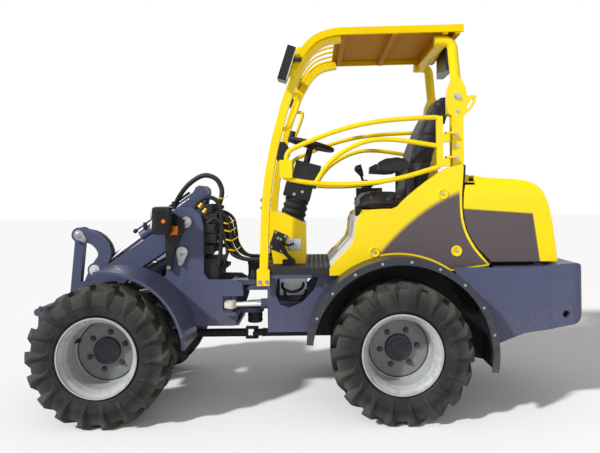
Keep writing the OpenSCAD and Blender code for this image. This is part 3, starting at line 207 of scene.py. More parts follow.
YELLOW, DEEP_YELLOW = (0.93, 0.67, 0.0), (0.84, 0.61, 0.0)
ROOF_YELLOW, ROOF_SHADE = (0.88, 0.6, 0.0), (0.48, 0.21, 0.0)
NAVY = rgb(74, 80, 108)
TAUPE = rgb(82, 73, 76)
DUST = rgb(128, 116, 98)
# Near-black for the painted shade in the wheel arches, and the earth mixed into it.
ARCH_SHADE, EARTH = (0.006, 0.006, 0.006), rgb(52, 48, 42)
RUBBER, GREY_RUBBER, DRY_EARTH = (0.011, 0.011, 0.0118), rgb(58, 58, 59), rgb(114, 109, 97)
RIM_DISC, RIM_BARREL, RIM_GRIME = rgb(122, 124, 124), rgb(172, 175, 174), rgb(92, 90, 84)
WELD_BLACK = (0.012, 0.012, 0.012)


def orange_peel(paint, soft_edge=0.003):
    """The fine ripple of sprayed paint."""
    paint.relief(paint.noise(420.0, 1.0), 0.05, 0.0006, soft_edge)


def drifting(paint, deep, color, drift):
    """A colour that drifts a little towards a deeper one."""
    return paint.mix(solid(deep), solid(color), drift.above(0.45, 0.3))


def deeper(color):
    """The same colour, a little darker."""
    return tuple(c * 0.86 for c in color)


def sprayed(name, color, rough=0.32, coat=0.25, dust=0.0):
    """Sprayed paint: faint colour drift, orange peel, and road dust towards the ground."""
    paint = Finish(name, color, rough, coat=coat)
    tone = drifting(paint, deeper(color), color, paint.noise(2.2))
    worn = paint.noise(38.0, 5.0, 0.65)
    if dust:
        low = 1 - paint.axis(2).above(0.55, 0.45)
        film = (low * worn.above(0.52, 0.2)) * dust
        tone = paint.mix(tone, solid(DUST), film)
        paint.set("Roughness", film * 0.4 + (worn * 0.1 + (rough - 0.05)))
    else:
        paint.set("Roughness", worn * 0.1 + (rough - 0.05))
    paint.set("Base Color", tone)
    orange_peel(paint)
    return paint


def moulded(name, color, rough=0.55, grain=900.0, depth=0.25):
    """Moulded plastic with a fine grain."""
    plastic = Finish(name, color, rough)
    drift = plastic.noise(9.0, 4.0)
    pale = tuple(c * (1 + 0.35 * (1 - c) ** 3) + 0.004 for c in color)
    plastic.set("Base Color", plastic.mix(solid(color), solid(pale), drift.above(0.55, 0.2)))
    plastic.set("Roughness", drift * 0.18 + (rough - 0.09))
    plastic.relief(plastic.noise(grain, 2.0), depth, 0.0008, 0.002)
    return plastic


def cast(name, color, rough=0.7):
    """Cast or forged metal under a thin coat."""
    metal = Finish(name, color, rough, metal=0.15)
    lumps = metal.noise(120.0, 4.0, 0.6)
    metal.set("Base Color", metal.mix(solid(color), solid(DUST), lumps.above(0.66, 0.1) * 0.35))
    metal.set("Roughness", lumps * 0.2 + (rough - 0.1))
    metal.relief(lumps, 0.3, 0.0012, 0.002)
    return metal


def polished(name, color, rough=0.12):
    """Chromed or bright metal with fine draw marks."""
    metal = Finish(name, color, rough, metal=1.0)
    haze = metal.noise(160.0, 2.0)
    metal.set("Roughness", haze * 0.1 + (rough - 0.03))
    metal.relief(haze, 0.04, 0.0004)
    return metal


def axle_reach(finish, *axles):
    """Distance from the nearest of the named axles, across the machine's side."""
    x, z = finish.axis(0), finish.axis(2)
    reaches = [((x - a) * (x - a) + (z - AXLE_Z) * (z - AXLE_Z)) ** 0.5 for a in axles]
    return reaches[0] if len(reaches) == 1 else reaches[0].least(reaches[1])


def rubber_tread(name):
    """Tyre rubber: grey-black flanks and a film of dry earth on the lugs."""
    rubber = Finish(name, (0.018, 0.018, 0.018), 0.75)
    grit = rubber.noise(55.0, 6.0, 0.7)
    cloud = rubber.noise(7.0, 3.0)
    lug_root = 0.318
    lugs = axle_reach(rubber, FRONT_AXLE, REAR_AXLE).above(lug_root, 0.03)
    film = (lugs * 0.36 + 0.04) * grit.above(0.42, 0.24) * (cloud * 0.9 + 0.25)
    flank = rubber.mix(solid(RUBBER), solid(GREY_RUBBER), cloud.above(0.55, 0.2) * 0.6)
    rubber.set("Base Color", rubber.mix(flank, solid(DRY_EARTH), film))
    rubber.set("Roughness", film * 0.2 + 0.62)
    rubber.relief(grit, 0.25, 0.0015, 0.004)
    return rubber


def rim_paint():
    """Rim: bright barrel, greyer disc, a dark weld line between them, and grime."""
    paint = Finish("rim_paint", rgb(160, 163, 162), 0.42)
    disc_edge, weld_line = 0.163, 0.1635
    reach = axle_reach(paint, FRONT_AXLE, REAR_AXLE)
    barrel = reach.above(disc_edge, 0.002)
    weld = 1 - (reach - weld_line).size().above(0.004, 0.0015)
    grime = paint.noise(26.0, 5.0, 0.65)
    tone = paint.mix(solid(RIM_DISC), solid(RIM_BARREL), barrel)
    tone = paint.mix(tone, solid(RIM_GRIME), grime.above(0.58, 0.14) * 0.35)
    paint.set("Base Color", paint.mix(tone, solid(WELD_BLACK), weld * 0.9))
    paint.set("Roughness", grime * 0.25 + 0.32)
    orange_peel(paint)
    return paint


def well_paint(name, axle, radius, lip, color):
    """Chassis paint with painted shade in a wheel arch, near-black with patches of earth-coloured grime."""
    paint = Finish(name, color, 0.38, coat=0.06)
    # Painted shade: within the arch's radius, and within the lip where there is one.
    shaded_arch = 1 - axle_reach(paint, axle).above(radius, 0.004)
    if lip:
        shaded_arch = shaded_arch * (1 - paint.axis(1).size().above(lip, 0.002))
    drift, worn = paint.noise(2.2), paint.noise(38.0, 5.0, 0.65)
    tone = drifting(paint, deeper(color), color, drift)
    film = (1 - paint.axis(2).above(0.5, 0.4)) * worn.above(0.52, 0.2) * 0.35
    tone = paint.mix(tone, solid(DUST), film)
    # Near-black painted shade, broken by patches of earth-coloured grime.
    arch_shade_and_dirt = paint.mix(solid(ARCH_SHADE), solid(EARTH), worn.above(0.6, 0.15) * 0.5)
    paint.set("Base Color", paint.mix(tone, arch_shade_and_dirt, shaded_arch))
    paint.set("Roughness", shaded_arch * 0.4 + (worn * 0.1 + 0.33))
    orange_peel(paint)
    return paint


def hood_paint():
    """Yellow hood with a recessed dark panel on each flank."""
    paint = Finish("hood_paint", YELLOW, 0.34, coat=0.06)
    x, y, z = paint.axis(0), paint.axis(1), paint.axis(2)
    top_slope, back_slope = 0.0785, 0.14
    top = (1.129 + 0.938 * top_slope) - x * top_slope
    back = (1.285 + 1.10 * back_slope) - z * back_slope
    inset = (top - z).least(back - x)
    flank = y.size().above(FLANK_Y, 0.004)
    dark = inset.above(0.0, 0.006) * flank
    drift = paint.noise(2.5)
    bright = drifting(paint, DEEP_YELLOW, YELLOW, drift)
    paint.set("Base Color", paint.mix(bright, solid(TAUPE), dark))
    paint.set("Roughness", dark * 0.12 + (drift * 0.08 + 0.26))
    recess = inset.above(0.0, 0.012) * flank * -1.0
    paint.relief(recess + paint.noise(420.0, 1.0) * 0.02, 0.6, 0.004, 0.004)
    return paint


def side_paint():
    """Yellow side panel with a swept dark field and a thin yellow edge."""
    paint = Finish("side_paint", YELLOW, 0.34, coat=0.06)
    x, y, z = paint.axis(0), paint.axis(1), paint.axis(2)
    field_front, field_long = 0.413, 0.497
    run = (x - field_front) * (1 / field_long)
    sweep = run * 0.6 - run * run * 0.23 + 0.864
    seam_top, seam_tall = 1.18, 0.364
    fall = ((seam_top - z) * (1 / seam_tall)).most(0.0)
    rear = (fall ** 2.6) * 0.158 + 0.891
    arch, edge = 0.5063, 0.010
    reach = axle_reach(paint, REAR_AXLE)
    foot = (x - 0.692) * 0.1317 + 0.769
    inset = (rear - x - edge).least(reach - (arch + edge)).least(z - foot - edge)
    flank = y.size().above(FLANK_Y, 0.004)
    dark = inset.above(0.0, 0.003) * (sweep - z).above(0.0, 0.022) * flank
    drift = paint.noise(2.5)
    bright = drifting(paint, DEEP_YELLOW, YELLOW, drift)
    paint.set("Base Color", paint.mix(bright, solid(TAUPE), dark))
    paint.set("Roughness", dark * 0.12 + (drift * 0.08 + 0.26))
    orange_peel(paint, 0.006)
    return paint


def roof_paint():
    """Canopy paint: yellow outside, with painted shade in a deeper orange on the underside of its skin."""
    paint = sprayed("roof_paint", ROOF_YELLOW, 0.6, 0.0)
    tone = Flow(paint, paint.shader.inputs["Base Color"].links[0].from_socket)
    along, across, up = (paint.axis(index) for index in range(3))
    skin, pitch, slots_end, lip = 2.136, 0.0155, 0.21, 0.371
    below = 1 - (up - along * pitch).above(skin, 0.002)
    shaded_underside = below * along.above(slots_end, 0.01) * (1 - across.size().above(lip, 0.004))
    # Painted shade: the skin's underside, behind the slots and within the lips, turns a deeper orange.
    paint.set("Base Color", paint.mix(tone, solid(ROOF_SHADE), shaded_underside))
    paint.set("Specular IOR Level", 0.08)
    return paint


FINISH = {
    "navy": sprayed("navy_paint", NAVY, 0.38, 0.06, dust=0.4),
    "yellow": sprayed("yellow_paint", YELLOW, 0.34, 0.06),
    "hood": hood_paint(),
    "side": side_paint(),
    "black": moulded("black_plastic", (0.012, 0.012, 0.013)),
    "gloss_black": moulded("gloss_black", (0.01, 0.01, 0.011), 0.25, 300.0, 0.05),
    "axle": cast("black_casting", (0.02, 0.02, 0.022)),
    "engine": cast("engine_casting", (0.06, 0.06, 0.06)),
    "roof": roof_paint(),
    "rear_arch": well_paint("rear_arch_paint", REAR_AXLE, 0.4995, 0.578, rgb(49, 51, 62)),
    "rear_navy": well_paint("rear_frame_paint", REAR_AXLE, 0.5, 0.0, NAVY),
    "front_arch": well_paint("front_arch_paint", FRONT_AXLE, 0.4365, 0.49, NAVY),
    "rim": rim_paint(),
    "rubber": rubber_tread("tyre_rubber"),
    "chrome": polished("chrome_rod", (0.82, 0.83, 0.85), 0.1),
    "steel": polished("zinc_steel", rgb(158, 160, 163), 0.36),
    "pale": moulded("pale_panel", rgb(205, 206, 204), 0.5, 500.0, 0.1),
    "seat": moulded("seat_vinyl", (0.015, 0.015, 0.016), 0.5, 600.0, 0.35),
    "red_lens": moulded("red_lens", rgb(150, 12, 12), 0.15, 200.0, 0.05),
    "mat": moulded("floor_black", (0.02, 0.02, 0.021), 0.6),
    "gold": polished("zinc_yellow", rgb(196, 160, 70), 0.3),
    "hub": sprayed("hub_paint", rgb(38, 39, 52), 0.4, 0.04, dust=0.15),
    "hose": moulded("hose_rubber", (0.014, 0.014, 0.015), 0.5, 700.0, 0.2),
    "lens": polished("lamp_lens", rgb(222, 226, 230), 0.08),
    "amber": moulded("amber_lens", rgb(226, 110, 10), 0.2, 200.0, 0.05),
    "cream": moulded("cream_cap", rgb(214, 206, 188), 0.45, 300.0, 0.1),
    "mirror": polished("mirror_glass", rgb(200, 206, 212), 0.04),
}

DRESS = {
    "navy": "counterweight front_frame boom quick_hitch tilt_lever tilt_link "
            "tilt_barrel lift_barrel steer_barrel",
    "rear_arch": "rear_fenders",
    "rear_navy": "rear_frame",
    "front_arch": "front_fenders",
    "yellow": "front_posts rear_posts door_left door_right seat_pedestal front_console",
    "roof": "roof",
    "hood": "hood",
    "side": "side_panels",
    "black": "armrests joystick pedals steering_column instrument_pod steering_wheel",
    "gloss_black": "mirrors headlamps rear_work_lamp",
    "mat": "floor_plate",
    "axle": "rear_axle front_axle rear_shaft front_shaft",
    "engine": "engine_block",
    "rim": "rim_front_left rim_front_right rim_rear_left rim_rear_right",
    "rubber": "tyre_front_left tyre_front_right tyre_rear_left tyre_rear_right",
    "chrome": "tilt_rod lift_rod steer_rod",
    "steel": "valve_block",
    "pale": "pedestal_panel",
    "seat": "seat_cushion seat_back",
    "red_lens": "tail_lamps",
}
for finish, names in DRESS.items():
    for name in names.split():
        nodes[name].data.materials.clear()
        nodes[name].data.materials.append(FINISH[finish].mat)


class Form:
    """A mesh under construction, placed in the machine's own frame."""

    def __init__(self):
        self.mesh = bmesh.new()

    def loft(self, rings):
        """Closed skin over rings of points that all have the same count."""
        rows = [[self.mesh.verts.new(p) for p in ring] for ring in rings]
        count = len(rows[0])
        for low, high in zip(rows, rows[1:]):
            for i in range(count):
                k = (i + 1) % count
                self.mesh.faces.new((low[i], low[k], high[k], high[i]))
        self.mesh.faces.new(rows[0][::-1])
        self.mesh.faces.new(rows[-1])
        return [v for row in rows for v in row]

    def soften(self, verts, edge, angle=0.5):
        """Bevels the sharp edges among these points."""
        if not edge:
            return
        self.mesh.normal_update()
        chosen = set(verts)
        sharp = [e for e in self.mesh.edges
                 if e.verts[0] in chosen and e.verts[1] in chosen and e.calc_face_angle(0.0) > angle]
        bmesh.ops.bevel(self.mesh, geom=sharp, offset=edge, segments=2, profile=0.6, affect="EDGES",
                        clamp_overlap=True)

    def brick(self, low, high, edge=0.003, turn=None):
        """A block between two corners, turned about its middle by an angle about Y."""
        (x0, y0, z0), (x1, y1, z1) = low, high
        corners = [(x0, y0), (x1, y0), (x1, y1), (x0, y1)]
        points = [[Vector((x, y, z)) for x, y in corners] for z in (z0, z1)]
        if turn:
            middle = (Vector(low) + Vector(high)) / 2
            spin = Matrix.Rotation(turn, 3, "Y")
            points = [[middle + spin @ (p - middle) for p in ring] for ring in points]
        self.soften(self.loft(points), edge)

    def prism(self, outline, y0, y1, edge=0.002):
        """An outline in the XZ plane carried from y0 to y1."""
        self.soften(self.loft([[(x, y, z) for x, z in outline] for y in (y0, y1)]), edge)

    def lathe(self, spot, way, profile, steps=32):
        """A turned form: radius and height pairs along the direction way."""
        axis = Vector(way).normalized()
        side = axis.orthogonal().normalized()
        other = axis.cross(side)
        rings = []
        for radius, height in profile:
            middle = Vector(spot) + axis * height
            rings.append([
                middle + side * (radius * math.cos(a)) + other * (radius * math.sin(a))
                for a in (2 * math.pi * i / steps for i in range(steps))
            ])
        self.loft(rings)

    def tube(self, path, radius, sides=10):
        """A round bar along a path of points."""
        points = [Vector(p) for p in path]
        rings = []
        guide = (points[1] - points[0]).orthogonal().normalized()
        for i, point in enumerate(points):
            ahead = points[min(i + 1, len(points) - 1)] - points[max(i - 1, 0)]
            ahead.normalize()
            guide = (guide - ahead * guide.dot(ahead)).normalized()
            other = ahead.cross(guide)
            rings.append([
                point + guide * (radius * math.cos(a)) + other * (radius * math.sin(a))
                for a in (2 * math.pi * k / sides for k in range(sides))
            ])
        self.loft(rings)

    def done(self, name, finish, body, slot, crease=35):
        """Closes the form as a finished piece."""
        bmesh.ops.recalc_face_normals(self.mesh, faces=self.mesh.faces)
        data = bpy.data.meshes.new(name)
        self.mesh.to_mesh(data)
        self.mesh.free()
        return dressed(name, data, finish, body, crease)


def dressed(name, data, finish, body, crease=35):
    """A finished mesh as a piece that moves with its body."""
    data.materials.clear()
    data.materials.append(FINISH[finish].mat)
    data.polygons.foreach_set("use_smooth", [True] * len(data.polygons))
    data.set_sharp_from_angle(angle=math.radians(crease))
    piece = bpy.data.objects.new(name, data)
    scene.collection.objects.link(piece)
    if body:
        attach(piece, body)
    return piece


def smooth_path(points, count):
    """Evenly spaced points on a smooth curve through the given ones."""
    knots = [Vector(p) for p in points]
    knots = [2 * knots[0] - knots[1], *knots, 2 * knots[-1] - knots[-2]]
    fine = []
    steps = 24
    for a, b, c, d in zip(knots, knots[1:], knots[2:], knots[3:]):
        for i in range(steps):
            t = i / steps
            fine.append(0.5 * (2 * b + (c - a) * t + (2 * a - 5 * b + 4 * c - d) * t ** 2
                               + (3 * b - a - 3 * c + d) * t ** 3))
    fine.append(knots[-2])
    runs = [0.0]
    for a, b in zip(fine, fine[1:]):
        runs.append(runs[-1] + (b - a).length)
    even, k = [], 0
    for i in range(count):
        goal = runs[-1] * i / (count - 1)
        while k < len(runs) - 2 and runs[k + 1] < goal:
            k += 1
        share = (goal - runs[k]) / max(runs[k + 1] - runs[k], 1e-9)
        even.append(fine[k].lerp(fine[k + 1], min(max(share, 0.0), 1.0)))
    return even


def span(side, near, far):
    """The two y values of a piece on one side of the machine, the lower first."""
    return sorted((side * near, side * far))


def length_of(path):
    """Length along a path of points."""
    return sum((b - a).length for a, b in zip(path, path[1:]))


def hose(name, points, diameter, body, other=None, count=36):
    """A hydraulic hose fixed at both ends; one that crosses a joint is baked where it lies and follows
    neither body.
    """
    path = smooth_path(points, count)
    tube = Form()
    tube.tube(path, diameter / 2, 12)
    piece = tube.done(name, "hose", None, None, 50)
    if other:
        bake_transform(piece)
    else:
        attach(piece, body)
    length_of(path)


def tower_hoses():
    """The loop over the tower, the bundle behind it and the links low down in it."""
    loop = [(-0.800, 0.011, 1.142), (-0.760, -0.030, 1.215), (-0.690, -0.049, 1.296),
            (-0.600, -0.065, 1.345), (-0.520, -0.079, 1.322), (-0.484, -0.091, 1.250),
            (-0.500, -0.102, 1.165), (-0.534, -0.112, 1.100), (-0.566, -0.122, 1.060)]
    hose("boom_loop_hose", loop, 0.030, "boom", "front", count=40)
    # Each hose of the bundle: its y, how much higher it starts, how much further back it falls
    bundle = ((-0.098, 0.0, 0.0), (-0.122, 0.018, 0.018), (-0.142, -0.02, -0.008),
              (0.105, 0.0, 0.004), (0.130, 0.016, 0.02))
    for index, (offset, lift, reach) in enumerate(bundle):
        top = 1.075 + lift
        route = [(-0.568, offset, top), (-0.520, offset, top + 0.030), (-0.470 + reach, offset, top - 0.015),
                 (-0.450 + reach, offset * 0.98, top - 0.105), (-0.442 + reach, offset * 0.96, 0.925),
                 (-0.408 + reach, offset * 0.93, 0.866), (-0.345, offset * 0.9, 0.836),
                 (-0.270, offset * 0.88, 0.832), (-0.215, offset * 0.86, 0.838),
                 (-0.178, offset * 0.85, 0.842)]
        hose(f"tower_hose_{index}", route, 0.021, "front", "chassis")
    arc = [(-0.640, -0.132, 1.145), (-0.612, -0.136, 1.190), (-0.562, -0.138, 1.212), (-0.508, -0.138, 1.190),
           (-0.484, -0.138, 1.120), (-0.482, -0.138, 1.020), (-0.486, -0.138, 0.930), (-0.492, -0.138, 0.852),
           (-0.500, -0.134, 0.800)]
    hose("tower_arc_hose", arc, 0.026, "front")
    for index, offset in enumerate((-0.112, -0.128)):
        link = [(-0.515, offset, 0.985), (-0.470, offset, 0.972), (-0.446 - 0.012 * index, offset, 0.925),
                (-0.452, offset, 0.870), (-0.478, offset * 0.95, 0.815 - 0.02 * index),
                (-0.502, offset * 0.9, 0.785)]
        hose(f"bank_hose_{index}", link, 0.018, "front")


def floor_hoses():
    """Two bowed links on each side of the valve block under the floor."""
    bow = ((-0.118, 0.148, 0.690), (-0.118, 0.195, 0.686), (-0.104, 0.243, 0.672), (-0.056, 0.266, 0.660),
           (-0.008, 0.243, 0.672), (0.006, 0.195, 0.686), (0.006, 0.148, 0.690))
    for index, (shift, fall) in enumerate(((0.0, 0.0), (0.014, 0.042))):
        for hand, side in HANDS:
            link = [(x + shift, side * y, z - fall) for x, y, z in bow]
            hose(f"valve_hose_{index}_{hand}", link, 0.017, "chassis")


tower_hoses()
floor_hoses()


class Grove:
    """A geometry-nodes tree with named inputs."""

    def __init__(self, name, inputs):
        self.tree = bpy.data.node_groups.new(name, "GeometryNodeTree")
        face = self.tree.interface
        face.new_socket("Geometry", in_out="INPUT", socket_type="NodeSocketGeometry")
        for label, kind in inputs.items():
            face.new_socket(label, in_out="INPUT", socket_type=kind)
        face.new_socket("Geometry", in_out="OUTPUT", socket_type="NodeSocketGeometry")
        self.entry = self.tree.nodes.new("NodeGroupInput")
        self.exit = self.tree.nodes.new("NodeGroupOutput")

    def node(self, kind, settings=None, sockets=None, out=0):
        made = self.tree.nodes.new(kind)
        for key, value in (settings or {}).items():
            setattr(made, key, value)
        for key, value in (sockets or {}).items():
            for one in value if isinstance(value, list) else [value]:
                if isinstance(one, bpy.types.NodeSocket):
                    self.tree.links.new(one, made.inputs[key])
                else:
                    made.inputs[key].default_value = one
        return made.outputs[out]

    def given(self, label):
        return self.entry.outputs[label]

    def times(self, a, b):
        return self.node("ShaderNodeMath", {"operation": "MULTIPLY"}, {0: a, 1: b})

    def close(self, geometry):
        """Ends the tree: real copies with their material."""
        real = self.node("GeometryNodeRealizeInstances", sockets={"Geometry": geometry})
        done = self.node("GeometryNodeSetMaterial", sockets={
            "Geometry": real, "Material": self.given("Material")})
        self.tree.links.new(done, self.exit.inputs[0])

    def grow(self, name, seed, values, finish, body, slot, crease=30):
        """Runs the tree on a mesh of points and keeps the result as one piece."""
        holder = bpy.data.objects.new(name + "_seed", seed)
        scene.collection.objects.link(holder)
        repeat = holder.modifiers.new("repeat", "NODES")
        repeat.node_group = self.tree
        values = dict(values, Material=FINISH[finish].mat)
        for item in self.tree.interface.items_tree:
            if item.in_out == "INPUT" and item.name in values:
                repeat[item.identifier] = values[item.name]
        deps = bpy.context.evaluated_depsgraph_get()
        data = bpy.data.meshes.new_from_object(holder.evaluated_get(deps))
        data.name = name
        bpy.data.objects.remove(holder)
        return dressed(name, data, finish, body, crease)


def bolt_grove():
    """Hex heads on washers, one at each point, turned to the point's aim."""
    grove = Grove("hex_bolts", {"Head Radius": "NodeSocketFloat", "Head Height": "NodeSocketFloat",
                                "Material": "NodeSocketMaterial"})
    radius, height = grove.given("Head Radius"), grove.given("Head Height")
    head = grove.node("GeometryNodeMeshCylinder", sockets={"Vertices": 6, "Radius": radius, "Depth": height})
    lift = grove.node("ShaderNodeCombineXYZ", sockets={"Z": grove.times(height, 0.8)})
    raised = grove.node("GeometryNodeTransform", sockets={"Geometry": head, "Translation": lift})
    washer = grove.node("GeometryNodeMeshCylinder", sockets={
        "Vertices": 20, "Radius": grove.times(radius, 1.55), "Depth": grove.times(height, 0.6)})
    stud = grove.node("GeometryNodeJoinGeometry", sockets={"Geometry": [raised, washer]})
    aim = grove.node("GeometryNodeInputNamedAttribute", {"data_type": "FLOAT_VECTOR"}, {"Name": "aim"})
    turn = grove.node("FunctionNodeAlignRotationToVector", {"axis": "Z"}, {"Vector": aim})
    spots = grove.node("GeometryNodeMeshToPoints", sockets={"Mesh": grove.given("Geometry")})
    grove.close(grove.node("GeometryNodeInstanceOnPoints", sockets={
        "Points": spots, "Instance": stud, "Rotation": turn}))
    return grove


def plate_grove():
    """Raised bars in alternating directions over a flat plate."""
    grove = Grove("checker_bars", {"Bar Length": "NodeSocketFloat", "Bar Width": "NodeSocketFloat",
                                   "Bar Height": "NodeSocketFloat", "Material": "NodeSocketMaterial"})
    size = grove.node("ShaderNodeCombineXYZ", sockets={
        "X": grove.given("Bar Length"), "Y": grove.given("Bar Width"), "Z": grove.given("Bar Height")})
    bar = grove.node("GeometryNodeMeshUVSphere", sockets={"Segments": 8, "Rings": 4, "Radius": 1.0})
    shaped = grove.node("GeometryNodeTransform", sockets={"Geometry": bar, "Scale": size})
    aim = grove.node("GeometryNodeInputNamedAttribute", {"data_type": "FLOAT_VECTOR"}, {"Name": "aim"})
    turn = grove.node("FunctionNodeAlignRotationToVector", {"axis": "X"}, {"Vector": aim})
    spots = grove.node("GeometryNodeMeshToPoints", sockets={"Mesh": grove.given("Geometry")})
    grove.close(grove.node("GeometryNodeInstanceOnPoints", sockets={
        "Points": spots, "Instance": shaped, "Rotation": turn}))
    return grove


BOLTS = bolt_grove()
BARS = plate_grove()


def seeds(name, places):
    """Points with the direction each repeat is turned to."""
    data = bpy.data.meshes.new(name)
    data.from_pydata([spot for spot, _ in places], [], [])
    aims = data.attributes.new("aim", "FLOAT_VECTOR", "POINT")
    aims.data.foreach_set("vector", [c for _, aim in places for c in aim])
    return data


def bolts(name, places, radius, body, finish="steel", slot="valve_metal", height=None):
    """Hex bolts at the given places, each turned to its aim."""
    return BOLTS.grow(name, seeds(name + "_points", places),
                      {"Head Radius": radius, "Head Height": height or radius * 0.9}, finish, body, slot)


def dress_wheels():
    """Hub caps, studs and valves on all four wheels."""
    stud_circle, stud_face, stud_r = 0.1025, 0.4105, 0.0102
    for end, x in (("front", FRONT_AXLE), ("rear", REAR_AXLE)):
        for hand, side in HANDS:
            body = f"wheel_{end}_{hand}"
            way = (0, side, 0)
            cap = Form()
            cap.lathe((x, side * 0.4092, AXLE_Z), way, [
                (0.0738, 0), (0.0738, 0.015), (0.0705, 0.0215), (0.062, 0.0238), (0.052, 0.0232),
                (0.05, 0.0255), (0.02, 0.0262)], 40)
            cap.done(f"hub_cap_{end}_{hand}", "hub", body, "navy_paint")
            lean = 0.35 if end == "front" else 0.1
            turns = [lean + i * math.pi / 3 for i in range(6)]
            circle = [(x + stud_circle * math.cos(a), AXLE_Z + stud_circle * math.sin(a)) for a in turns]
            studs = [((stud_x, side * stud_face, stud_z), way) for stud_x, stud_z in circle]
            bolts(f"wheel_studs_{end}_{hand}", studs, stud_r, body, "engine", height=0.013)
            valve = Form()
            valve.lathe((x - 0.155, side * 0.41, AXLE_Z + 0.055), way, [
                (0.011, 0), (0.011, 0.006), (0.0055, 0.008), (0.005, 0.036), (0.0068, 0.037),
                (0.0062, 0.05)], 14)
            valve.done(f"valve_{end}_{hand}", "black", body, "black_plastic")


dress_wheels()


def teardrop(spot, r, tail, tail_r, toward):
    """Teardrop outline round a pin, its tail in the direction toward, in degrees."""
    lead = math.radians(toward)
    tip = (spot[0] + tail * math.cos(lead), spot[1] + tail * math.sin(lead))
    ring = [(spot[0] + r * math.cos(lead + a), spot[1] + r * math.sin(lead + a))
            for a in (math.radians(d) for d in range(65, 296, 15))]
    ring += [(tip[0] + tail_r * math.cos(lead + a), tip[1] + tail_r * math.sin(lead + a))
             for a in (math.radians(d) for d in range(-70, 71, 20))]
    return ring, tip


def dress_pins():
    """Bright retainers over the pins of the tower and the linkage."""
    thick, tail_r = 0.006, 0.014
    studs = {}
    for hand, side in HANDS:
        for name, spot, r, tail, toward, face, body in (
            ("lift", LIFT_PIN, 0.034, 0.066, 262, 0.1803, "front"),
            ("boom", BOOM_PIN, 0.034, 0.022, 200, 0.1803, "front"),
            ("lever_top", LEVER_TOP, 0.031, 0.048, 318, 0.0423, "tilt_lever"),
            ("lever", LEVER_PIN, 0.036, 0.052, 250, 0.0803, "boom"),
            ("hitch", HITCH_PIN, 0.034, 0.050, 120, 0.1163, "quick_hitch"),
        ):
            outline, tip = teardrop(spot, r, tail, tail_r, toward)
            keep = Form()
            keep.prism(outline, *span(side, face, face + thick), 0.0015)
            keep.lathe((spot[0], side * (face + thick), spot[1]), (0, side, 0), [
                (0.018, -0.002), (0.018, 0.003), (0.014, 0.005), (0.006, 0.005)], 20)
            keep.done(f"{name}_retainer_{hand}", "steel", body, "valve_metal")
            studs.setdefault(body, []).append(((tip[0], side * (face + 0.007), tip[1]), (0, side, 0)))
        disc = Form()
        disc.lathe((ROD_PIN[0], side * 0.0423, ROD_PIN[1]), (0, side, 0), [
            (0.033, 0), (0.033, 0.006), (0.029, 0.009), (0.012, 0.009), (0.010, 0.013)], 28)
        disc.done(f"rod_pin_disc_{hand}", "pale", "tilt_lever", "pale_panel")
    for body, places in studs.items():
        bolts(f"retainer_bolts_{body}", places, 0.008, body)


dress_pins()


def head_lamp(hand, side):
    """Ribbed shell, two lenses and the indicators of one headlamp."""
    shell = Form()
    y0, y1 = span(side, 0.227, 0.312)
    shell.brick((-0.853, y0, 1.000), (-0.747, y1, 1.161), 0.020)
    y0, y1 = span(side, 0.236, 0.3155)
    rib_pitch, rib_tall = 0.0135, 0.0055
    for i in range(9):
        z = 1.022 + i * rib_pitch
        shell.brick((-0.842, y0, z), (-0.7435, y1, z + rib_tall), 0.002)
    shell.done(f"lamp_shell_{hand}", "gloss_black", "front", "lamp_black")
    lens = Form()
    for z in (1.046, 1.114):
        lens.lathe((-0.8525, side * 0.269, z), (-1, 0, 0), [
            (0.031, 0), (0.031, 0.006), (0.027, 0.010), (0.020, 0.0125), (0.008, 0.014)], 28)
    lens.done(f"lamp_lenses_{hand}", "lens", "front", "chrome_rod")
    signal = Form()
    signal.lathe((-0.781, side * 0.3115, 1.076), (0, side, 0), [
        (0.0125, 0), (0.0125, 0.006), (0.009, 0.010), (0.004, 0.011)], 18)
    y0, y1 = span(side, 0.2005, 0.226)
    signal.brick((-0.772, y0, 0.992), (-0.724, y1, 1.046), 0.008)
    signal.done(f"indicators_{hand}", "amber", "front", "lamp_red")
    bolts(f"bracket_bolts_{hand}", [((-0.783, side * 0.2025, 0.799), (0, side, 0)),
                                    ((-0.781, side * 0.2025, 1.012), (0, side, 0))], 0.008, "front")


def valve_bank(hand, side):
    """Stacked valve sections against one cheek of the tower, each with its port."""
    face, foot, pitch = -0.600, 0.872, 0.062
    # Depth and height of each section, from the foot up
    sections = ((0.072, 0.052), (0.088, 0.060), (0.080, 0.056), (0.094, 0.060), (0.066, 0.05))
    bank = Form()
    for i, (depth, tall) in enumerate(sections):
        z = foot + i * pitch
        y0, y1 = span(side, 0.0905, 0.1497 - 0.006 * (i % 2))
        bank.brick((face, y0, z), (face + depth, y1, z + tall), 0.005)
        bank.lathe((-0.601 + depth, side * 0.118, z + 0.028), (1, 0, 0), [
            (0.017, 0), (0.017, 0.012), (0.0135, 0.014), (0.0135, 0.020), (0.010, 0.028)], 6)
    bank.done(f"valve_bank_{hand}", "axle", "front", "black_paint")


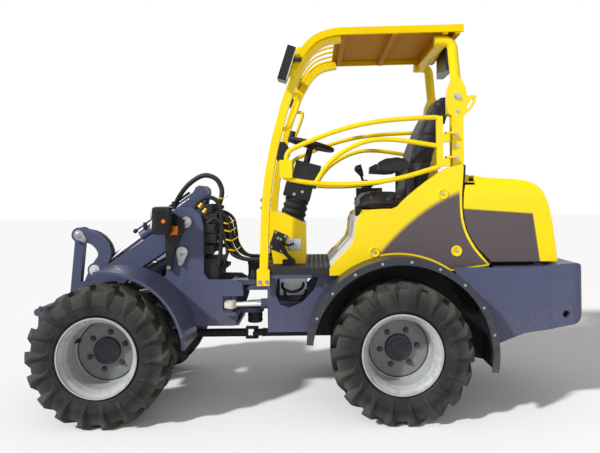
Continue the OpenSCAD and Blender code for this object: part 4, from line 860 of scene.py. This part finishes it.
def hose_fittings():
    """The manifold at the tower's foot, the ties round the hoses and the bright pipe ends."""
    junction = Form()
    junction.brick((-0.590, -0.140, 0.722), (-0.500, 0.140, 0.842), 0.006)
    for i in range(5):
        y = -0.112 + i * 0.056
        junction.lathe((-0.5005, y, 0.785), (1, 0, 0), [
            (0.019, 0), (0.019, 0.016), (0.014, 0.018), (0.014, 0.034), (0.006, 0.036)], 6)
    junction.done("tower_manifold", "axle", "front", "black_paint")
    ties = Form()
    for x, y, z, r in ((-0.493, -0.097, 1.205, 0.020), (-0.462, -0.116, 1.055, 0.026),
                       (-0.455, -0.118, 1.01, 0.030), (-0.447, -0.117, 0.955, 0.032),
                       (-0.430, -0.115, 0.895, 0.030)):
        ties.lathe((x, y, z - 0.004), (0.25, 0, 1), [
            (r - 0.004, 0), (r, 0.0), (r + 0.002, 0.004), (r, 0.008), (r - 0.004, 0.008)], 20)
        loose = [(x + r, y - 0.006, z), (x + r + 0.018, y - 0.012, z + 0.006),
                 (x + r + 0.030, y - 0.014, z + 0.018)]
        ties.tube(loose, 0.0024, 6)
    ties.done("hose_ties", "yellow", "front", "yellow_plastic")
    pipes = Form()
    for x, y, z in ((-0.610, -0.1455, 1.150), (-0.585, -0.1455, 1.118)):
        pipes.lathe((x, y, z), (0.6, 0, 1), [
            (0.012, 0), (0.016, 0.002), (0.016, 0.016), (0.012, 0.018), (0.012, 0.030)], 6)
    pipes.lathe((ARTICULATION_X, 0, 0.6405), (0, 0, 1), [
        (0.010, 0), (0.016, 0.004), (0.016, 0.020), (0.022, 0.021), (0.022, 0.0308)], 6)
    pipes.done("pipe_ends", "gold", "front", "valve_metal")


def level_rod():
    """The rod beside the tilt cylinder that shows the hitch's level."""
    start = Vector((TILT_BASE[0], 0, TILT_BASE[1]))
    axis = (Vector((ROD_PIN[0], 0, ROD_PIN[1])) - start).normalized()
    rise = Vector((axis.z, 0, -axis.x))
    base = start + Vector((0, -0.030, 0)) + rise * 0.048
    pipe_y = Vector((0, 0.04, 0))
    gauge = Form()
    gauge.tube([base + axis * 0.16, base + axis * 0.30, base + axis * 0.465], 0.005, 10)
    gauge.lathe(base + axis * 0.462, axis, [(0.010, 0), (0.013, 0.006), (0.013, 0.018), (0.010, 0.024)], 16)
    for along in (0.18, 0.40):
        spot = base + axis * along
        gauge.brick(spot - Vector((0.011, 0.008, 0.034)), spot + Vector((0.011, 0.008, 0.010)), 0.002)
    gauge.tube([base + axis * 0.07 + pipe_y, base + axis * 0.2 + pipe_y,
                base + axis * 0.215 + Vector((0, 0.035, 0))], 0.008, 10)
    gauge.done("level_rod", "axle", "tilt_barrel", "black_paint")


def pivot_sleeves():
    """Ribbed sleeves round the articulation pin and the pale end of the steering rod."""
    sleeves = Form()
    sleeves.lathe((ARTICULATION_X, 0, 0.704), (0, 0, 1), [
        (0.0395, 0), (0.043, 0.004), (0.043, 0.022), (0.0395, 0.027), (0.0395, 0.085), (0.043, 0.089),
        (0.043, 0.104), (0.036, 0.1095), (0.012, 0.1105)], 36)
    sleeves.lathe((ARTICULATION_X, 0, 0.4305), (0, 0, 1), [
        (0.030, 0), (0.044, 0.004), (0.047, 0.016), (0.044, 0.030), (0.047, 0.044), (0.044, 0.058),
        (0.047, 0.0685)], 36)
    sleeves.done("pivot_sleeves", "axle", "front", "black_paint")
    eye = Form()
    eye.lathe((-0.421, -0.205, 0.5595), (0, 0, 1), [
        (0.030, 0), (0.0368, 0.004), (0.0372, 0.020), (0.0368, 0.037), (0.030, 0.041), (0.012, 0.0415)], 32)
    eye.done("steering_rod_end", "cream", "steer_rod", "pale_panel")


for hand, side in HANDS:
    head_lamp(hand, side)
    valve_bank(hand, side)
hose_fittings()
level_rod()
pivot_sleeves()


def controls():
    """Pedal plate, switch plate, column collar and joystick grip."""
    pedal = Form()
    pedal.prism([(-0.160, 1.014), (-0.082, 0.980), (-0.117, 0.876), (-0.195, 0.908)], -0.192, -0.181, 0.003)
    pedal.tube(smooth_path([(-0.118, -0.200, 0.905), (-0.088, -0.212, 0.868), (-0.060, -0.222, 0.842),
                            (-0.044, -0.225, 0.818)], 10), 0.011, 10)
    lever = [(-0.105, -0.200, 0.930), (-0.070, -0.206, 0.925), (-0.045, -0.204, 0.935)]
    pedal.tube(smooth_path(lever, 8), 0.006, 8)
    pedal.brick((0.318, -0.215, 1.070), (0.352, -0.120, 1.150), 0.006)
    pedal.done("pedal_plate", "black", "chassis", "black_plastic")
    plate_bolts = [((x, -0.1925, z), (0, -1, 0)) for x, z in (
        (-0.152, 1.000), (-0.096, 0.976), (-0.122, 0.892), (-0.180, 0.914), (-0.140, 0.966), (-0.124, 0.958))]
    switch = Form()
    switch.brick((-0.080, -0.188, 0.892), (-0.004, -0.180, 0.962), 0.003)
    for x, z in ((-0.060, 0.942), (-0.040, 0.915)):
        switch.lathe((x, -0.1878, z), (0, -1, 0), [(0.010, 0), (0.010, 0.008), (0.007, 0.012)], 14)
    switch.done("switch_plate", "steel", "chassis", "valve_metal")
    bolts("console_bolts", plate_bolts, 0.0048, "chassis")
    collar = Form()
    collar.brick((-0.108, -0.074, 1.196), (0.060, 0.074, 1.286), 0.008, turn=0.26)
    collar.done("column_collar", "black", "chassis", "black_plastic")
    collar_bolts = [((-0.046, -0.0745, 1.225), (0, -1, 0)), ((0.004, -0.0745, 1.238), (0, -1, 0))]
    bolts("collar_bolts", collar_bolts, 0.006, "chassis")
    lean = (-0.48, 0, 0.88)
    grip = Form()
    grip.lathe((0.447, 0.285, 1.258), lean, [
        (0.030, 0), (0.034, 0.010), (0.025, 0.022), (0.029, 0.032), (0.020, 0.044), (0.022, 0.052),
        (0.012, 0.066)], 24)
    grip.lathe((0.402, 0.285, 1.340), lean, [
        (0.012, 0), (0.016, 0.020), (0.020, 0.036), (0.0255, 0.050), (0.0265, 0.062), (0.021, 0.076),
        (0.009, 0.083)], 24)
    grip.done("joystick_grip", "gloss_black", "chassis", "black_plastic")


def body_bolts():
    """Bolts of the posts, fenders and door hinges, and the screws of the side panels in their cups."""
    post_y, cup_y, lip_y, lip_r = 0.361, 0.4002, 0.5855, 0.488
    hinge, fold, feet, cups, screws, rims = [], [], [], Form(), [], []
    for _, side in HANDS:
        way = (0, side, 0)
        hinge += [((0.876, side * post_y, z), way) for z in (1.549, 1.481, 1.414)]
        fold.append(((REAR_POST_X, side * post_y, 1.760), way))
        hinge.append(((REAR_POST_X, side * post_y, 1.677), way))
        feet += [((-0.2195, side * 0.335, z), (-1, 0, 0)) for z in (1.192, 1.147)]
        feet += [((-0.212 + dx, side * 0.3835, 0.735), way) for dx in (-0.02, 0.02)]
        for x, z in ((0.407, 0.897), (0.789, 1.214), (0.861, 0.898)):
            cups.lathe((x, side * cup_y, z), way, [
                (0.031, 0), (0.030, 0.004), (0.026, 0.0065), (0.022, 0.006), (0.0165, 0.0015),
                (0.012, 0.001)], 28)
            screws.append(((x, side * 0.4018, z), way))
        for i in range(9):
            a = math.radians(12 + i * 18)
            rims.append(((REAR_AXLE + lip_r * math.cos(a), side * lip_y, AXLE_Z + lip_r * math.sin(a)), way))
    bolts("hinge_bolts", hinge, 0.0068, "chassis")
    bolts("fold_bolts", fold, 0.0125, "chassis")
    bolts("post_bolts", feet, 0.0075, "chassis")
    bolts("cup_screws", screws, 0.006, "chassis")
    bolts("fender_bolts", rims, 0.0048, "chassis")
    cups.done("screw_cups", "yellow", "chassis", "yellow_plastic")


def side_fittings(hand, side):
    """Hood seal, mirror bracket, mirror glass and tail lens of one side."""
    seal = Form()
    line = [(0.912, 1.374), (0.909, 1.319), (0.897, 1.180), (0.908, 1.045), (0.957, 0.938), (1.022, 0.853),
            (1.052, 0.824)]
    seal.tube(smooth_path([(x, side * 0.386, z) for x, z in line], 30), 0.0075, 8)
    seal.done(f"hood_seal_{hand}", "black", "chassis", "black_plastic")
    bow = Form()
    outline = [(-0.064, 1.880), (-0.028, 1.872), (0.044, 1.990), (0.036, 2.036), (-0.006, 2.046),
               (-0.038, 1.985)]
    bow.prism(outline, *span(side, 0.3605, 0.3725), 0.002)
    bow.done(f"mirror_bracket_{hand}", "yellow", "chassis", "yellow_paint")
    glass = Form()
    lean = math.radians(18)
    start = Vector((-0.115, 0, 1.845))
    along = Vector((math.sin(lean), 0, math.cos(lean)))
    out = Vector((math.cos(lean), 0, -math.sin(lean)))
    y0, y1 = span(side, 0.403, 0.483)
    rings = []
    for depth in (0.0455, 0.0495):
        low, high = (start + along * reach + out * depth for reach in (0.012, 0.178))
        rings.append([(low.x, y0, low.z), (high.x, y0, high.z), (high.x, y1, high.z), (low.x, y1, low.z)])
    glass.soften(glass.loft(rings), 0.0015)
    glass.done(f"mirror_glass_{hand}", "mirror", "chassis", "chrome_rod")
    tail = Form()
    y0, y1 = span(side, 0.262, 0.338)
    tail.brick((1.545, y0, 0.663), (1.566, y1, 0.772), 0.007)
    tail.done(f"tail_lens_{hand}", "red_lens", "chassis", "lamp_red")


def rear_fittings():
    """Lenses of the work lamp and the tow pin with its ring."""
    lens = Form()
    for y in (-0.065, 0.065):
        lens.lathe((0.9195, y, 2.020), (1, 0, 0), [
            (0.048, 0), (0.048, 0.006), (0.043, 0.010), (0.030, 0.014), (0.010, 0.0155)], 32)
    lens.done("work_lamp_lenses", "lens", "chassis", "chrome_rod")
    pin_x = 1.505
    tow = Form()
    tow.lathe((pin_x, 0, 0.515), (0, 0, 1), [
        (0.009, 0), (0.0118, 0.005), (0.0118, 0.322), (0.021, 0.323), (0.021, 0.335), (0.012, 0.338),
        (0.009, 0.352)], 20)
    ring = ((-0.001, 0.862), (-0.030, 0.880), (-0.018, 0.912), (0.018, 0.912), (0.030, 0.880), (0.001, 0.862))
    tow.tube(smooth_path([(pin_x, y, z) for y, z in ring], 24), 0.004, 8)
    tow.done("tow_pin", "steel", "chassis", "valve_metal")


def floor_bars():
    """Raised bars on the floor plate, left out under the console."""
    front, left, plate_top = -0.150, -0.345, 0.8122
    pitch_along, pitch_across = 0.0275, 0.030
    console_rear, console_half = 0.03, 0.185
    bars = []
    for i in range(18):
        for k in range(24):
            x, y = front + i * pitch_along, left + k * pitch_across
            if x < console_rear and abs(y) < console_half:
                continue
            flip = 1 if (i + k) % 2 else -1
            bars.append(((x, y, plate_top), (0.7, 0.7 * flip, 0)))
    sizes = {"Bar Length": 0.0125, "Bar Width": 0.0036, "Bar Height": 0.0018}
    BARS.grow("floor_bars", seeds("floor_points", bars), sizes, "mat", "chassis", "black_plastic")


controls()
body_bolts()
for hand, side in HANDS:
    side_fittings(hand, side)
rear_fittings()
floor_bars()


ENGINE_TOP, ENGINE_BACK = 1.132, 1.314


def oblong(middle, half_x, half_y, z):
    """Ring of points on a rounded rectangle about the machine's middle line."""
    squareness, count = 0.4, 40
    turns = [2 * math.pi * (i + 0.5) / count for i in range(count)]
    return [(middle + half_x * math.copysign(abs(math.cos(a)) ** squareness, math.cos(a)),
             half_y * math.copysign(abs(math.sin(a)) ** squareness, math.sin(a)), z) for a in turns]


def rocker_cover():
    """Ribbed cover with its filler cap on top of the engine."""
    top = ENGINE_TOP
    cover = Form()
    steps = ((-0.002, 0.0), (0.012, 0.0), (0.015, 0.010), (0.050, 0.016), (0.060, 0.028))
    cover.loft([oblong(1.150, 0.140 - inset, 0.100 - inset, top + rise) for rise, inset in steps])
    for index in range(7):
        x = 1.052 + 0.033 * index
        cover.brick((x - 0.005, -0.062, top + 0.056), (x + 0.005, 0.062, top + 0.068), 0.002)
    cover.lathe((1.235, -0.030, top + 0.058), (0, 0, 1), [
        (0.020, 0), (0.020, 0.012), (0.027, 0.014), (0.027, 0.026), (0.020, 0.031)])
    cover.done("rocker_cover", "axle", "chassis", "cast_engine")


def air_cleaner():
    """Air cleaner in its cradles, with the elbow to the engine."""
    cleaner = Form()
    cleaner.lathe((1.020, -0.245, 1.205), (0, 1, 0), [
        (0.030, -0.006), (0.050, 0.0), (0.061, 0.008), (0.063, 0.016), (0.063, 0.056), (0.058, 0.060),
        (0.058, 0.150), (0.060, 0.153), (0.060, 0.162), (0.058, 0.165), (0.058, 0.215), (0.048, 0.232),
        (0.030, 0.240)])
    elbow = [(1.020, -0.010, 1.205), (1.020, 0.045, 1.207), (1.030, 0.085, 1.205), (1.060, 0.110, 1.195),
             (1.090, 0.118, 1.170), (1.098, 0.118, 1.128)]
    cleaner.tube(smooth_path(elbow, 20), 0.026, 20)
    foot, half_thick = ENGINE_TOP - 0.002, 0.008
    cradle = [(0.970, foot), (1.070, foot), (1.062, 1.180), (0.978, 1.180)]
    for y in (-0.170, -0.060):
        cleaner.prism(cradle, y - half_thick, y + half_thick)
    cleaner.done("air_cleaner", "black", "chassis", "black_plastic")


def belt_drive():
    """Three pulleys behind the engine, the belt round them and their bolts."""
    back, belt_sink, belt_r = ENGINE_BACK, 0.003, 0.006
    pulleys = ((0.0, 0.915, 0.080), (0.140, 1.050, 0.042), (-0.110, 1.060, 0.058))
    drive = Form()
    for y, z, r in pulleys:
        drive.lathe((back - 0.002, y, z), (1, 0, 0), [
            (r * 0.8, 0.0), (r, 0.004), (r, 0.008), (r - 0.008, 0.014), (r, 0.020), (r, 0.024),
            (r * 0.84, 0.026), (r * 0.78, 0.020), (r * 0.42, 0.018), (r * 0.36, 0.030), (r * 0.12, 0.032)])
    drive.done("belt_pulleys", "steel", "chassis", "valve_metal")
    turns = [i * math.pi / 14 for i in range(28)]
    wrap = [(y + (r - belt_sink) * math.cos(a), z + (r - belt_sink) * math.sin(a))
            for y, z, r in pulleys for a in turns]
    loop = [(back + 0.012, *wrap[i]) for i in convex_hull_2d(wrap)]
    belt = Form()
    belt.tube(loop + loop[:1], belt_r, 8)
    belt.done("drive_belt", "hose", "chassis", "black_plastic")
    bolts("pulley_bolts", [((back + 0.030, y, z), (1, 0, 0)) for y, z, _ in pulleys], 0.010, "chassis")


rocker_cover()
air_cleaner()
belt_drive()


def stuffed(shape, name, inset, cap, held_below):
    """A seat pad blown up from a plain shape by cloth pressure."""
    pressure, frames = 4.0, 20
    cell = 0.006
    source = bmesh.new()
    source.from_mesh(shape)
    bmesh.ops.remove_doubles(source, verts=source.verts, dist=1e-5)
    bmesh.ops.recalc_face_normals(source, faces=source.faces)
    middle = sum((v.co for v in source.verts), Vector()) / len(source.verts)
    spans = [max(v.co[i] for v in source.verts) - min(v.co[i] for v in source.verts) for i in range(3)]
    for v in source.verts:
        v.co = Vector(middle[i] + (v.co[i] - middle[i]) * (1 - 2 * inset / spans[i]) for i in range(3))
    data = bpy.data.meshes.new(name)
    source.to_mesh(data)
    source.free()
    pad = bpy.data.objects.new(name, data)
    scene.collection.objects.link(pad)
    remesh = pad.modifiers.new("even_cells", "REMESH")
    remesh.mode = "VOXEL"
    remesh.voxel_size = cell

    def settle():
        """Keeps the remeshed shape as the pad's own mesh."""
        deps = bpy.context.evaluated_depsgraph_get()
        pad.data = bpy.data.meshes.new_from_object(pad.evaluated_get(deps))
        pad.modifiers.clear()

    settle()
    rest = [v.co.copy() for v in pad.data.vertices]
    held = pad.vertex_groups.new(name="held")
    low = min(p.z for p in rest)
    held.add([i for i, p in enumerate(rest) if p.z < low + held_below], 1.0, "REPLACE")
    cloth = pad.modifiers.new("stuffing", "CLOTH")
    cloth.settings.use_pressure = True
    cloth.settings.uniform_pressure_force = pressure
    cloth.settings.vertex_group_mass = "held"
    cloth.settings.effector_weights.gravity = 0.0
    cloth.point_cache.frame_start = 1
    cloth.point_cache.frame_end = frames + 2
    for moment in range(1, frames + 1):
        scene.frame_set(moment)
    deps = bpy.context.evaluated_depsgraph_get()
    blown = bpy.data.meshes.new_from_object(pad.evaluated_get(deps))
    pad.modifiers.clear()
    for v, start, now in zip(pad.data.vertices, rest, blown.vertices):
        move = now.co - start
        if move.length > cap:
            move *= cap / move.length
        v.co = start + move
    scene.frame_set(1)
    pad.vertex_groups.clear()
    return pad


def sew(pad, channels, depth, width):
    """Presses sewn lines into a pad: each channel gives a distance from its seam."""
    for v in pad.data.vertices:
        push = 0.0
        for distance, strength in channels(v.co):
            push = max(push, strength * math.exp(-(distance / width) ** 2))
        v.co -= v.normal * (push * depth)


def head_block():
    """Plain shape of the head part over the seat back."""
    block = Form()
    outline = [(0.792, 1.640), (0.868, 1.628), (0.898, 1.790), (0.876, 1.806), (0.836, 1.800), (0.800, 1.750)]
    half_wide = 0.150
    block.prism(outline, -half_wide, half_wide, 0.0)
    bmesh.ops.recalc_face_normals(block.mesh, faces=block.mesh.faces)
    data = bpy.data.meshes.new("head_block")
    block.mesh.to_mesh(data)
    block.mesh.free()
    return data


def seat():
    """Cushion, back and head pad with sewn channels."""
    upper = 1.19
    base = stuffed(nodes["seat_cushion"].data, "seat_pad", 0.008, 0.016, 0.012)
    sew(base, lambda p: [(p.x - 0.395, 0.8 if p.z > upper else 0.0),
                         (abs(p.y) - 0.165, 1.0 if p.z > upper else 0.0),
                         (p.z - 1.180, 0.7)], 0.007, 0.007)
    rest = stuffed(nodes["seat_back"].data, "seat_rest", 0.008, 0.016, 0.012)
    sew(rest, lambda p: [(abs(p.y) - 0.165, 1.0), (p.z - 1.56, 0.9), (p.z - 1.40, 0.7)], 0.007, 0.007)
    head = stuffed(head_block(), "seat_head", 0.006, 0.014, 0.012)
    sew(head, lambda p: [(abs(p.y) - 0.118, 1.0)], 0.006, 0.006)
    for pad, node in ((base, "seat_cushion"), (rest, "seat_back"), (head, None)):
        soft = pad.modifiers.new("round", "SUBSURF")
        soft.levels = soft.render_levels = 1
        deps = bpy.context.evaluated_depsgraph_get()
        data = bpy.data.meshes.new_from_object(pad.evaluated_get(deps))
        name = pad.name
        bpy.data.objects.remove(pad)
        piece = dressed(name, data, "seat", "chassis", 80)
        if node:
            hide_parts(node)


seat()


def studio():
    """Pale floor, white surround, one soft sun from the upper left and one wide fill."""
    mesh = bpy.data.meshes.new("floor")
    form = bmesh.new()
    bmesh.ops.create_grid(form, x_segments=1, y_segments=1, size=30.0)
    form.to_mesh(mesh)
    form.free()
    floor = bpy.data.objects.new("floor", mesh)
    scene.collection.objects.link(floor)
    pale = Finish("pale_floor", (0.8, 0.8, 0.8), 0.9)
    look = pale.node("ShaderNodeLightPath", out="Is Camera Ray")
    pale.set("Base Color", pale.mix(solid((0.8, 0.8, 0.8)), solid((1.0, 1.0, 1.0)), look))
    mesh.materials.append(pale.mat)
    world = bpy.data.worlds.new("white_surround")
    scene.world = world
    world.use_nodes = True
    tree = world.node_tree
    air = tree.nodes["Background"]
    air.inputs["Strength"].default_value = 0.34
    air.inputs["Color"].default_value = (1.0, 1.0, 1.0, 1.0)
    shown = tree.nodes.new("ShaderNodeBackground")
    shown.inputs["Color"].default_value = (1.0, 1.0, 1.0, 1.0)
    rays = tree.nodes.new("ShaderNodeLightPath")
    direct = rays.outputs["Is Camera Ray"]
    for ray in ("Is Glossy Ray", "Is Transmission Ray"):
        either = tree.nodes.new("ShaderNodeMath")
        either.operation = "MAXIMUM"
        tree.links.new(direct, either.inputs[0])
        tree.links.new(rays.outputs[ray], either.inputs[1])
        direct = either.outputs[0]
    seen = tree.nodes.new("ShaderNodeMixShader")
    tree.links.new(direct, seen.inputs[0])
    tree.links.new(air.outputs[0], seen.inputs[1])
    tree.links.new(shown.outputs[0], seen.inputs[2])
    tree.links.new(seen.outputs[0], tree.nodes["World Output"].inputs["Surface"])

    def lamp(name, kind, power, place, target, size):
        """A light at a place, aimed at a target; size is an angle for the sun."""
        light = bpy.data.lights.new(name, kind)
        light.energy = power
        if kind == "SUN":
            light.angle = size
        else:
            light.shape = "DISK"
            light.size = size
        holder = bpy.data.objects.new(name, light)
        holder.location = place
        holder.rotation_euler = (Vector(target) - Vector(place)).to_track_quat("-Z", "Y").to_euler()
        scene.collection.objects.link(holder)

    lamp("sun", "SUN", 3.2, (-4.2, -3.3, 4.3), (0, 0, 0.6), math.radians(4))
    lamp("near_fill", "AREA", 45, (1.5, -5.0, 2.2), (0, 0, 0.9), 4.0)


studio()
scene.view_settings.view_transform = "Standard"
